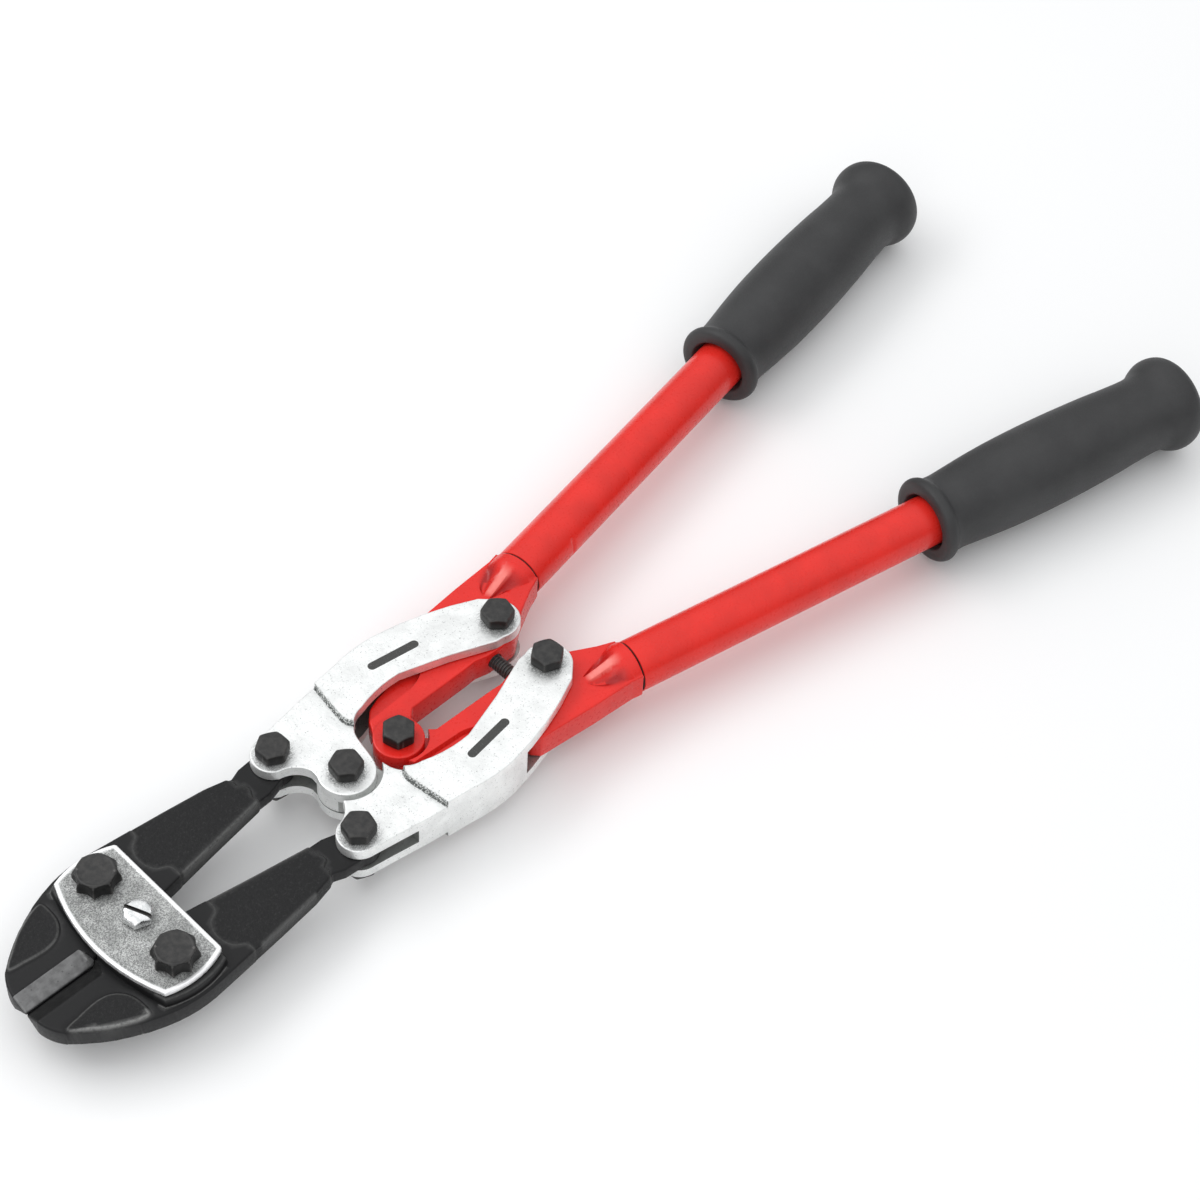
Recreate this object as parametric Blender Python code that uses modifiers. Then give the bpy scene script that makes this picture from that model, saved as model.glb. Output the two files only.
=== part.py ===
"""Bolt cutters of the 18 inch class, lying flat with the jaws closed.

Everything swings in one plane.  Sizes are millimetres in a drawing whose origin is the centre
bolt: +X runs back to the grips, +Y is the left side and +Z is up along the bolts.  The left
half is drawn, and the right half mirrors it with side = -1.  The world's origin lies under the
middle of the tool's length, on the surface that the grips rest on.
"""
import math

import bmesh
import bpy
from mathutils import Vector

MM = 0.001

# ------------------------------------------------------------------- driving dimensions
LEFT = 1
RIGHT = -1
GAP = 0.3                       # air between pieces that bear on each other

# Pivot axes of the left half
CENTRE = (0.0, 0.0)
JAW_PIVOT = (-93.0, 20.9)
TAIL_PIVOT = (-14.2, 22.9)
HANDLE_PIVOT = (84.2, 13.1)
HANDLE_HINGE = (24.4, 0.0)
CLAMP = (-92.2, 0.0)

# Heights above and below the middle plane
TAIL_HALF = 2.9
BLADE_HALF = 3.9
BOSS_HALF = 7.3
ARM_HALF = 5.3
TONGUE_HALF = 3.0
STRAP_INNER = BOSS_HALF + GAP
STRAP_OUTER = 9.9
FRONT_INNER = 3.3
FRONT_OUTER = 7.75
REAR_INNER = 6.2
REAR_OUTER = 10.4
EAR_SPLIT = GAP / 2             # half of the gap between the two handle ears
CUTTER_REACH = 20.0             # above and below every face

# Bolts
HEX_FLATS = 11.1
HEAD_HEIGHT = 5.2
NUT_HEIGHT = 4.3
THREAD_END = 0.8
SHANK = 3.2
BOLT_HOLE = SHANK + GAP
JAW_BOLT_LOBES = 8
JAW_BOLT_HEAD = 7.9
JAW_BOLT_SCALLOP = 0.5
JAW_BOLT_HEAD_HEIGHT = 5.7
JAW_SHANK = 4.0
JAW_HOLE = JAW_SHANK + GAP
JAW_NUT_FLATS = 13.0
CLAMP_FLATS = 10.0
CLAMP_CORNER = 42.0             # degrees, where a corner of the head points
CLAMP_HEAD_HEIGHT = 3.5
CLAMP_SHANK = 3.0
CLAMP_NUT_HEIGHT = 3.0
SLOT_WIDTH = 1.5
SLOT_DEPTH = 1.3
SLOT_TURN = math.radians(113.3)

# Open pivots, where the linkage is loose on purpose
RIGHT_JAW_HOLE = 5.0
RIGHT_EAR_HOLE = 4.9

# Jaw
BEVEL_START = -141.5
BEVEL_END = -111.0
EDGE_Y = 0.15
EDGE_HALF = 0.3
BEVEL_TOP_Y = 6.5
NOTCH = 4.8

# Link
LINK_CLEARANCE = 13.0
TONGUE_EYE = 10.6

# Handle
EAR = 9.3
EAR_RELIEF = 11.0
STOP_X = 76.0
STOP_RADIUS = 2.9
STOP_TIP_Y = -4.9
STOP_ROOT_Y = 12.6
STOP_BORE_Y = -5.0
TUBE_START = (110.2, 29.9)
TUBE_ANGLE = math.radians(10.8)
TUBE_RADIUS = 10.0
TUBE_BORE = 8.5
TUBE_LENGTH = 250.0
COLLAR_RADIUS = 10.2
COLLAR_LENGTH = 10.0
SHOULDER_RADIUS = 5.8
SHOULDER_LENGTH = 8.0
SPIGOT_RADIUS = 8.2
SPIGOT_DEPTH = 32.0
GRIP_BORE = 10.3
GRIP_BORE_END = 252.0
GRIP_END = 263.6

# Outer side of the grip, from the end face forward: distance along the tube, radius
GRIP_PROFILE = [
    (GRIP_END, 8.0), (263.0, 11.0), (261.0, 15.8), (258.0, 18.5), (254.0, 19.2), (250.0, 18.3),
    (247.0, 16.6), (243.0, 15.6), (236.0, 15.7), (221.0, 16.6), (205.0, 17.2), (190.0, 17.4),
    (176.0, 17.2), (160.0, 16.3), (147.0, 15.2), (142.0, 15.3), (139.2, 16.8), (137.4, 17.2),
    (135.4, 16.6), (134.5, 14.5),
]
GRIP_WIDEST = max(radius for _, radius in GRIP_PROFILE)

ARC_STEP = math.radians(18.0)
ROUND_STEPS = 24
TURNED_STEPS = 32
JAW_TIP_X = -140.1
GRIP_TIP_X = TUBE_START[0] + max(
    s * math.cos(TUBE_ANGLE) + radius * math.sin(TUBE_ANGLE) for s, radius in GRIP_PROFILE)
DRAWING_ORIGIN = (-(JAW_TIP_X + GRIP_TIP_X) / 2, 0.0, GRIP_WIDEST)

# Colour, roughness and metallic value of each finish
FINISHES = {
    "black_forging": ((0.022, 0.022, 0.024), 0.42, 0.3),
    "zinc_plate": ((0.72, 0.73, 0.74), 0.36, 0.9),
    "black_fastener": ((0.035, 0.035, 0.038), 0.5, 0.3),
    "red_enamel": ((0.58, 0.022, 0.02), 0.24, 0.0),
    "grip_rubber": ((0.03, 0.031, 0.033), 0.62, 0.0),
}


# ------------------------------------------------------------------- scene
def clear_scene():
    for old in list(bpy.data.objects):
        bpy.data.objects.remove(old, do_unlink=True)


def new_collection(name):
    collection = bpy.data.collections.new(name)
    bpy.context.scene.collection.children.link(collection)
    return collection


clear_scene()
TOOL = new_collection("bolt_cutters")
CUTTERS = new_collection("bolt_cutters_cutters")


def new_empty(name, parent, place):
    empty = bpy.data.objects.new(name, None)
    empty.empty_display_size = 10 * MM
    TOOL.objects.link(empty)
    empty.parent = parent
    empty.location = Vector(place) * MM
    return empty


DRAWING = new_empty("drawing_origin", None, DRAWING_ORIGIN)


def new_object(name, mesh):
    """A mesh object that stands in the drawing, with round sides shaded smooth."""
    mesh.shade_smooth()
    mesh.set_sharp_from_angle(angle=math.radians(35))
    obj = bpy.data.objects.new(name, mesh)
    TOOL.objects.link(obj)
    obj.parent = DRAWING
    return obj


def set_finish(obj, finish):
    colour, roughness, metallic = FINISHES[finish]
    material = bpy.data.materials.new(obj.name + "_material")
    material.use_nodes = True
    shader = material.node_tree.nodes["Principled BSDF"]
    shader.inputs["Base Color"].default_value = (*colour, 1.0)
    shader.inputs["Roughness"].default_value = roughness
    shader.inputs["Metallic"].default_value = metallic
    material.diffuse_color = (*colour, 1.0)
    obj.data.materials.clear()
    obj.data.materials.append(material)


def mount_on(body, obj, finish):
    """Give a piece its finish and hang it on the empty of its moving body, in place."""
    set_finish(obj, finish)
    obj.parent = body
    obj.location -= body.location
    return obj


# ------------------------------------------------------------------- outlines
def arc_points(start, middle, end):
    """Points after start, up to end, on the circle through the three points."""
    a, b, c = Vector(start), Vector(middle), Vector(end)
    twice_area = 2 * ((b - a).x * (c - a).y - (b - a).y * (c - a).x)
    ab, ac = (b - a).length_squared, (c - a).length_squared
    centre = a + Vector(((c - a).y * ab - (b - a).y * ac,
                         (b - a).x * ac - (c - a).x * ab)) / twice_area
    radius = (a - centre).length
    first, via, last = (math.atan2(*(p - centre).yx) for p in (a, b, c))
    sweep = (last - first) % math.tau
    if (via - first) % math.tau > sweep:
        sweep -= math.tau
    count = max(2, math.ceil(abs(sweep) / ARC_STEP))
    angles = [first + sweep * i / count for i in range(1, count + 1)]
    return [(centre.x + radius * math.cos(t), centre.y + radius * math.sin(t)) for t in angles]


def fillet_points(before, corner, after, radius):
    """Points of the round that takes the place of a corner."""
    corner = Vector(corner)
    to_before = (Vector(before) - corner).normalized()
    to_after = (Vector(after) - corner).normalized()
    half = math.acos(max(-1.0, min(1.0, to_before.dot(to_after)))) / 2
    reach = radius / math.tan(half)
    bisector = (to_before + to_after).normalized()
    middle = corner + bisector * (radius / math.sin(half) - radius)
    start = corner + to_before * reach
    end = corner + to_after * reach
    return [tuple(start)] + arc_points(start, middle, end)


def outline(*items):
    """Closed outline from (x, y) corners, (x, y, round) corners and ("arc", via, end) runs."""
    corners = []
    for item in items:
        if item[0] == "arc":
            previous = corners[-1][:2]
            corners += [(*point, 0.0) for point in arc_points(previous, item[1], item[2])]
        else:
            corners.append((*item, 0.0)[:3])
    points = []
    for index, (x, y, radius) in enumerate(corners):
        if radius:
            before = corners[index - 1][:2]
            after = corners[(index + 1) % len(corners)][:2]
            points += fillet_points(before, (x, y), after, radius)
        else:
            points.append((x, y))
    return points


# ------------------------------------------------------------------- solids
def plate(name, points, low, high, side=LEFT):
    """A flat outline given a thickness from low to high."""
    curve = bpy.data.curves.new(name, "CURVE")
    curve.dimensions = "2D"
    curve.fill_mode = "BOTH"
    curve.extrude = (high - low) / 2 * MM
    spline = curve.splines.new("POLY")
    spline.points.add(len(points) - 1)
    for target, (x, y) in zip(spline.points, points):
        target.co = (x * MM, y * side * MM, 0.0, 1.0)
    spline.use_cyclic_u = True
    drawn = bpy.data.objects.new(name + "_outline", curve)
    TOOL.objects.link(drawn)
    drawn.parent = DRAWING
    drawn.location.z = (low + high) / 2 * MM
    depsgraph = bpy.context.evaluated_depsgraph_get()
    mesh = bpy.data.meshes.new_from_object(drawn.evaluated_get(depsgraph))
    mesh.name = name
    solid = bmesh.new()
    solid.from_mesh(mesh)
    bmesh.ops.remove_doubles(solid, verts=solid.verts, dist=1e-6)
    bmesh.ops.recalc_face_normals(solid, faces=solid.faces)
    solid.to_mesh(mesh)
    solid.free()
    obj = new_object(name, mesh)
    obj.matrix_world = drawn.matrix_world
    bpy.data.objects.remove(drawn, do_unlink=True)
    return obj


def round_bar(name, radius, low, high, place=(0.0, 0.0), steps=ROUND_STEPS, turn=0.0):
    """A cylinder or prism along Z, centred on place."""
    solid = bmesh.new()
    bmesh.ops.create_cone(solid, cap_ends=True, segments=steps, radius1=radius * MM,
                          radius2=radius * MM, depth=(high - low) * MM)
    mesh = bpy.data.meshes.new(name)
    solid.to_mesh(mesh)
    solid.free()
    obj = new_object(name, mesh)
    obj.location = Vector((place[0], place[1], (low + high) / 2)) * MM
    obj.rotation_euler.z = turn
    return obj


def hexagon(name, flats, low, high, place, turn=0.0):
    return round_bar(name, flats / math.sqrt(3), low, high, place, steps=6, turn=turn)


def flat_turn(corner_degrees):
    """Turn that brings a hexagon's corner, drawn at 30 degrees, to the given direction."""
    return math.radians(corner_degrees - 30.0)


def box(name, size, place, tilt_x=0.0):
    solid = bmesh.new()
    bmesh.ops.create_cube(solid, size=1.0)
    bmesh.ops.scale(solid, vec=Vector(size) * MM, verts=solid.verts)
    mesh = bpy.data.meshes.new(name)
    solid.to_mesh(mesh)
    solid.free()
    obj = new_object(name, mesh)
    obj.location = Vector(place) * MM
    obj.rotation_euler.x = tilt_x
    return obj


def combine(target, tool, operation):
    """Join, cut or trim a solid with a tool that stays as a wire guide."""
    TOOL.objects.unlink(tool)
    CUTTERS.objects.link(tool)
    tool.hide_render = True
    tool.display_type = "WIRE"
    modifier = target.modifiers.new(tool.name, "BOOLEAN")
    modifier.operation = operation
    modifier.solver = "EXACT"
    modifier.object = tool


def join(target, tool):
    combine(target, tool, "UNION")


def cut(target, tool):
    combine(target, tool, "DIFFERENCE")


def drill(target, place, radius):
    hole = round_bar(target.name + "_hole", radius, -CUTTER_REACH, CUTTER_REACH, place)
    cut(target, hole)


def mirrored(place, side):
    return (place[0], place[1] * side)


def along_tube(obj, side):
    """Lay a Z solid along the tube's axis, with its base at the seam."""
    obj.rotation_euler = (0.0, math.pi / 2, TUBE_ANGLE * side)
    obj.location = Vector((*mirrored(TUBE_START, side), 0.0)) * MM


def turned(name, profile, ring=False):
    """A solid turned about Z from (radius, height) points that run down its outer side."""
    solid = bmesh.new()
    verts = [solid.verts.new((radius * MM, 0.0, height * MM)) for radius, height in profile]
    for first, second in zip(verts, verts[1:]):
        solid.edges.new((first, second))
    if ring:
        solid.edges.new((verts[-1], verts[0]))
    mesh = bpy.data.meshes.new(name)
    solid.to_mesh(mesh)
    solid.free()
    obj = new_object(name, mesh)
    screw = obj.modifiers.new("turn", "SCREW")
    screw.steps = TURNED_STEPS
    screw.render_steps = TURNED_STEPS
    screw.use_merge_vertices = True
    screw.merge_threshold = 1e-6
    screw.use_smooth_shade = True
    return obj


# ------------------------------------------------------------------- fasteners
def hex_bolt(name, place, face, turn):
    """Hexagon bolt whose head sits a gap above face, with its thread through the nut below."""
    seat = face + GAP
    bolt = hexagon(name, HEX_FLATS, seat, seat + HEAD_HEIGHT, place, turn)
    thread_end = -(seat + NUT_HEIGHT + THREAD_END)
    join(bolt, round_bar(name + "_shank", SHANK, thread_end, seat + 1.0, place))
    return bolt


def hex_nut(name, place, face, turn):
    seat = -(face + GAP)
    nut = hexagon(name, HEX_FLATS, seat - NUT_HEIGHT, seat, place, turn)
    drill(nut, place, BOLT_HOLE)
    return nut


def lobed_bolt(name, place):
    """Jaw bolt with a scalloped round head."""
    seat = STRAP_OUTER + GAP
    points = []
    samples = JAW_BOLT_LOBES * 6
    for index in range(samples):
        angle = math.tau * index / samples
        radius = JAW_BOLT_HEAD + JAW_BOLT_SCALLOP * math.cos(JAW_BOLT_LOBES * angle)
        points.append((place[0] + radius * math.cos(angle), place[1] + radius * math.sin(angle)))
    bolt = plate(name, points, seat, seat + JAW_BOLT_HEAD_HEIGHT)
    thread_end = -(seat + NUT_HEIGHT + THREAD_END)
    join(bolt, round_bar(name + "_shank", JAW_SHANK, thread_end, seat + 1.0, place))
    return bolt


def jaw_nut(name, place):
    seat = -(STRAP_OUTER + GAP)
    nut = hexagon(name, JAW_NUT_FLATS, seat - NUT_HEIGHT, seat, place)
    drill(nut, place, JAW_HOLE)
    return nut


def clamp_screw():
    """Small slotted hexagon screw between the two jaw bolts."""
    seat = STRAP_OUTER + GAP
    top = seat + CLAMP_HEAD_HEIGHT
    screw = hexagon("clamp_screw", CLAMP_FLATS, seat, top, CLAMP, flat_turn(CLAMP_CORNER))
    slot = box("clamp_screw_slot", (CLAMP_FLATS * 2, SLOT_WIDTH, 2 * SLOT_DEPTH), (*CLAMP, top))
    slot.rotation_euler.z = SLOT_TURN
    cut(screw, slot)
    thread_end = -(seat + CLAMP_NUT_HEIGHT + THREAD_END)
    join(screw, round_bar("clamp_screw_shank", CLAMP_SHANK, thread_end, seat + 1.0, CLAMP))
    return screw


def clamp_nut():
    seat = -(STRAP_OUTER + GAP)
    nut = hexagon("clamp_nut", CLAMP_FLATS, seat - CLAMP_NUT_HEIGHT, seat, CLAMP)
    drill(nut, CLAMP, CLAMP_SHANK + GAP)
    return nut


# ------------------------------------------------------------------- head
def strap_outline():
    return outline(
        (-79.3, 28.3, 1.5),
        (-80.5, 28.9),
        ("arc", (-91.5, 31.6), (-104.6, 29.6)),
        ("arc", (-110.9, 0.0), (-104.6, -29.6)),
        ("arc", (-91.5, -31.6), (-80.5, -28.9)),
        (-79.3, -28.3, 1.5),
    )


def strap(name, low, high):
    piece = plate(name, strap_outline(), low, high)
    for side in (LEFT, RIGHT):
        drill(piece, mirrored(JAW_PIVOT, side), JAW_HOLE)
    drill(piece, CLAMP, CLAMP_SHANK + GAP)
    return piece


def blade_outline():
    """Blade and arm: cutting edge at EDGE_Y, convex back, wavy step down to the tail."""
    return outline(
        (-139.9, EDGE_Y, 1.0),
        (JAW_TIP_X, BEVEL_TOP_Y),
        ("arc", (-138.6, 12.0), (-136.0, 16.2)),
        ("arc", (-121.0, 27.2), (-103.0, 34.2)),
        ("arc", (-94.0, 35.4), (-85.0, 35.0)),
        (-57.0, 32.0),
        (-40.0, 29.9),
        (-31.5, 27.8),
        (-30.8, 26.7),
        (-28.6, 23.7),
        (-27.7, 20.6),
        (-29.1, 17.5),
        (-28.4, 13.0),
        (-52.0, 9.6),
        (-76.0, 5.6),
        (-84.0, 4.6),
        (-98.0, 2.0),
        (-111.5, EDGE_Y),
    )


def boss_outline():
    """Thicker land between the straps, round the jaw bolt."""
    return outline(
        (-110.4, 1.6),
        ("arc", (-109.4, 14.5), (-105.6, 30.6)),
        ("arc", (-92.0, 33.6), (-79.6, 31.0)),
        (-79.6, 6.2),
        (-84.0, 5.2),
        (-98.0, 2.6),
    )


def tail_outline():
    """Thin tail with its eye round the link bolt, rooted inside the arm."""
    return outline(
        (-38.0, 26.5),
        (-31.5, 26.4),
        (-25.5, 28.8),
        (-17.5, 29.5),
        ("arc", (-6.8, 22.9), (-15.9, 15.7)),
        (-23.5, 13.4),
        (-28.2, 13.6),
        (-38.0, 14.5),
    )


def jaw(name, side):
    blade = plate(name, blade_outline(), -BLADE_HALF, BLADE_HALF, side)
    join(blade, plate(name + "_boss", boss_outline(), -BOSS_HALF, BOSS_HALF, side))
    join(blade, plate(name + "_tail", tail_outline(), -TAIL_HALF, TAIL_HALF, side))
    rise = BLADE_HALF - EDGE_HALF
    run = BEVEL_TOP_Y - EDGE_Y
    slope = math.atan2(rise, run)
    depth = 10.0
    for level in (1, -1):
        bevel = box(
            name + "_bevel",
            (BEVEL_END - BEVEL_START, 14.0, depth),
            ((BEVEL_START + BEVEL_END) / 2,
             side * ((EDGE_Y + BEVEL_TOP_Y) / 2 - math.sin(slope) * depth / 2),
             level * ((EDGE_HALF + BLADE_HALF) / 2 + math.cos(slope) * depth / 2)),
            tilt_x=slope * side * level)
        cut(blade, bevel)
    drill(blade, CLAMP, NOTCH)
    drill(blade, mirrored(JAW_PIVOT, side), JAW_HOLE if side == LEFT else RIGHT_JAW_HOLE)
    drill(blade, mirrored(TAIL_PIVOT, side), BOLT_HOLE)
    return blade


# ------------------------------------------------------------------- links
def link_outline():
    """Both plates of a link from above: jaw eye, centre eye, and the arm back to the handle."""
    return outline(
        (-14.8, 31.1),
        ("arc", (-22.3, 21.6), (-17.5, 15.4)),
        ("arc", (-11.6, 12.4), (-9.1, 8.0)),
        (-9.3, 5.1),
        ("arc", (-1.0, -10.6), (10.4, -2.0)),
        (12.3, 8.0),
        ("arc", (15.4, 13.4), (21.0, 15.9)),
        ("arc", (31.0, 18.2), (41.0, 18.4)),
        (60.0, 12.4),
        (77.0, 5.6),
        (80.5, 5.3),
        ("arc", (92.5, 10.5), (90.2, 20.5)),
        (85.5, 25.0),
        ("arc", (67.0, 32.6), (45.0, 37.7)),
        ("arc", (36.0, 38.0), (26.0, 36.8)),
        (8.0, 34.7),
        (-5.0, 32.6),
    )


def step_outline():
    """Everything ahead of the line where the arm steps up from the front plate."""
    return [(-45, -20), (15.2, -20), (15.2, 13.0), (13.4, 16.0), (13.4, 20.0), (16.2, 36.0),
            (16.2, 50), (-45, 50)]


def clevis_slot_outline():
    """Slot that takes the jaw's tail and the other link's tongue, open in front of the web."""
    return [(-45, -20), (17.5, -20), (17.5, 30.4), (3.5, 28.8), (3.5, 50), (-45, 50)]


def tail_slot_outline():
    """Slot that takes only the jaw's tail, beside the solid neck of the right link."""
    return [(-45, -20), (-7.5, -20), (-7.5, 7.5), (-4.6, 16.0), (-3.0, 24.0), (3.5, 29.5),
            (3.5, 50), (-45, 50)]


def arm_slot_outline():
    """Slot that takes the handle forging, closed by the web as far back as x = 53."""
    return [(16.5, -25), (115, -25), (115, 60), (53, 60), (53, 31.6), (45, 32.7), (36, 32.9),
            (26, 31.8), (16.5, 30.2)]


def tongue_outline():
    """Single eye between the left link's plates, with the neck that carries it."""
    return outline(
        (TONGUE_EYE, 0.0),
        ("arc", (0.0, -TONGUE_EYE), (-7.5, 7.5)),
        (-4.6, 16.0),
        (-3.3, 21.0),
        (11.0, 21.0),
        (12.8, 13.5),
    )


def link(name, side):
    solid = plate(name, link_outline(), -REAR_OUTER, REAR_OUTER, side)
    for low, high in ((FRONT_OUTER, CUTTER_REACH), (-CUTTER_REACH, -FRONT_OUTER)):
        cut(solid, plate(name + "_step", step_outline(), low, high, side))
    front_slot = clevis_slot_outline() if side == LEFT else tail_slot_outline()
    cut(solid, plate(name + "_front_slot", front_slot, -FRONT_INNER, FRONT_INNER, side))
    cut(solid, plate(name + "_rear_slot", arm_slot_outline(), -REAR_INNER, REAR_INNER, side))
    if side == RIGHT:
        drill(solid, CENTRE, LINK_CLEARANCE)
        join(solid, plate(name + "_tongue", tongue_outline(), -TONGUE_HALF, TONGUE_HALF, side))
    drill(solid, CENTRE, BOLT_HOLE)
    drill(solid, mirrored(TAIL_PIVOT, side), BOLT_HOLE)
    drill(solid, mirrored(HANDLE_PIVOT, side), BOLT_HOLE)
    return solid


# ------------------------------------------------------------------- handles
def forging_outline():
    """Flat red arm from the hinge ear, past the link bolt, to the tube socket."""
    return outline(
        (18.5, 7.2),
        ("arc", (HANDLE_HINGE[0], -EAR), (33.2, 3.0)),
        (36.5, 6.3),
        (63.0, 6.6),
        (67.5, 6.9),
        (73.0, 5.5),
        (86.0, 5.3),
        (94.0, 11.5),
        (100.7, 15.2),
        (105.1, 17.6),
        (108.6, 19.7),
        (106.6, 38.9),
        (103.8, 38.9),
        (85.0, 37.0),
        (70.0, 35.5),
        (61.5, 34.7),
        (59.0, 32.0),
        ("arc", (55.5, 24.5), (50.0, 18.5)),
        (46.0, 20.3),
        (38.0, 20.6),
        (30.5, 19.0),
        (25.5, 17.0),
        (21.4, 12.8),
    )


def socket_profile():
    """Shoulder, collar and the spigot that plugs the tube, from the spigot's end forward."""
    shoulder_start = -COLLAR_LENGTH - SHOULDER_LENGTH
    return [
        (0.0, SPIGOT_DEPTH),
        (SPIGOT_RADIUS, SPIGOT_DEPTH),
        (SPIGOT_RADIUS, -GAP / 2),
        (COLLAR_RADIUS, -GAP / 2),
        (COLLAR_RADIUS, -COLLAR_LENGTH),
        (SHOULDER_RADIUS, shoulder_start),
        (0.0, shoulder_start),
    ]


def forging(name, side):
    arm = plate(name, forging_outline(), -ARM_HALF, ARM_HALF, side)
    low, high = (-CUTTER_REACH, EAR_SPLIT) if side == LEFT else (-EAR_SPLIT, CUTTER_REACH)
    cut(arm, round_bar(name + "_ear_relief", EAR_RELIEF, low, high, HANDLE_HINGE))
    socket = turned(name + "_socket", socket_profile())
    along_tube(socket, side)
    join(arm, socket)
    drill(arm, HANDLE_HINGE, BOLT_HOLE if side == LEFT else RIGHT_EAR_HOLE)
    drill(arm, mirrored(HANDLE_PIVOT, side), BOLT_HOLE)
    if side == LEFT:
        bore = round_bar(name + "_stop_bore", STOP_RADIUS + GAP, STOP_BORE_Y, STOP_ROOT_Y + GAP)
        bore.rotation_euler.x = -math.pi / 2
        bore.location = Vector((STOP_X, (STOP_ROOT_Y + GAP + STOP_BORE_Y) / 2, 0.0)) * MM
        cut(arm, bore)
    return arm


def stop_screw():
    """Set screw that meets the right arm when the handles close."""
    screw = round_bar("stop_screw", STOP_RADIUS, STOP_TIP_Y, STOP_ROOT_Y)
    screw.rotation_euler.x = -math.pi / 2
    screw.location = Vector((STOP_X, (STOP_TIP_Y + STOP_ROOT_Y) / 2, 0.0)) * MM
    return screw


def tube(name, side):
    seam = GAP / 2
    profile = [(TUBE_RADIUS, TUBE_LENGTH), (TUBE_RADIUS, seam), (TUBE_BORE, seam),
               (TUBE_BORE, TUBE_LENGTH)]
    pipe = turned(name, profile, ring=True)
    along_tube(pipe, side)
    return pipe


def grip(name, side):
    outer = [(0.0, GRIP_END)] + [(radius, s) for s, radius in GRIP_PROFILE]
    bore = [(GRIP_BORE, GRIP_PROFILE[-1][0]), (GRIP_BORE, GRIP_BORE_END), (0.0, GRIP_BORE_END)]
    sleeve = turned(name, outer + bore)
    along_tube(sleeve, side)
    return sleeve


# ------------------------------------------------------------------- assembly
def build_centre():
    body = new_empty("centre_pivot", DRAWING, (*CENTRE, 0.0))
    bolt = hex_bolt("centre_bolt", CENTRE, FRONT_OUTER, flat_turn(22.0))
    nut = hex_nut("centre_nut", CENTRE, FRONT_OUTER, flat_turn(10.0))
    mount_on(body, bolt, "black_fastener")
    mount_on(body, nut, "black_fastener")


def build_head():
    body = new_empty("head_strap", DRAWING, (*JAW_PIVOT, 0.0))
    upper = strap("upper_strap", STRAP_INNER, STRAP_OUTER)
    lower = strap("lower_strap", -STRAP_OUTER, -STRAP_INNER)
    for piece in (upper, lower, clamp_screw(), clamp_nut()):
        mount_on(body, piece, "zinc_plate")
    for word, side in (("left", LEFT), ("right", RIGHT)):
        place = mirrored(JAW_PIVOT, side)
        mount_on(body, lobed_bolt(word + "_jaw_bolt", place), "black_fastener")
        mount_on(body, jaw_nut(word + "_jaw_nut", place), "black_fastener")


def build_jaw(word, side):
    body = new_empty(word + "_jaw_axis", DRAWING, (*mirrored(TAIL_PIVOT, side), 0.0))
    mount_on(body, jaw(word + "_jaw", side), "black_forging")


def build_link(word, side, corner_degrees):
    body = new_empty(word + "_link_axis", DRAWING, (*CENTRE, 0.0))
    place = mirrored(TAIL_PIVOT, side)
    mount_on(body, link(word + "_link", side), "zinc_plate")
    bolt = hex_bolt(word + "_link_bolt", place, FRONT_OUTER, flat_turn(corner_degrees))
    nut = hex_nut(word + "_link_nut", place, FRONT_OUTER, flat_turn(corner_degrees + 20))
    mount_on(body, bolt, "black_fastener")
    mount_on(body, nut, "black_fastener")


def build_handle(word, side, corner_degrees):
    place = mirrored(HANDLE_PIVOT, side)
    body = new_empty(word + "_handle_axis", DRAWING, (*place, 0.0))
    mount_on(body, forging(word + "_handle_forging", side), "red_enamel")
    mount_on(body, tube(word + "_handle_tube", side), "red_enamel")
    mount_on(body, grip(word + "_grip", side), "grip_rubber")
    bolt = hex_bolt(word + "_handle_bolt", place, REAR_OUTER, flat_turn(corner_degrees))
    nut = hex_nut(word + "_handle_nut", place, REAR_OUTER, flat_turn(corner_degrees + 15))
    mount_on(body, bolt, "black_fastener")
    mount_on(body, nut, "black_fastener")
    return body


def build_hinge(left_handle):
    """Bolt that joins the two handle ears, and the stop screw, both on the left handle."""
    bolt = hex_bolt("hinge_bolt", HANDLE_HINGE, ARM_HALF, flat_turn(46.7))
    nut = hex_nut("hinge_nut", HANDLE_HINGE, ARM_HALF, flat_turn(30.0))
    for piece in (bolt, nut, stop_screw()):
        mount_on(left_handle, piece, "black_fastener")


def main():
    build_centre()
    build_head()
    build_jaw("left", LEFT)
    build_jaw("right", RIGHT)
    build_link("left", LEFT, 33.5)
    build_link("right", RIGHT, 17.5)
    left_handle = build_handle("left", LEFT, 18.5)
    build_handle("right", RIGHT, 37.5)
    build_hinge(left_handle)
    bpy.context.view_layer.update()


main()
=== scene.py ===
"""Looks of the bolt cutters: fine pieces, materials, floor, light and camera on the CAD frame.

Shapes are in millimetres in the tool's own drawing: its origin is the centre bolt in the middle
plane, +X runs back to the grips, +Y is the left side and +Z is up along the bolts.  The left
half is drawn, and the right half mirrors it.  The outlines are those of the CAD model, with
finer arcs, rounded edges and the relief of the cast and forged faces.
"""
import math

import bpy
import numpy as np
from mathutils import Matrix, Vector
from mathutils.geometry import delaunay_2d_cdt


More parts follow.
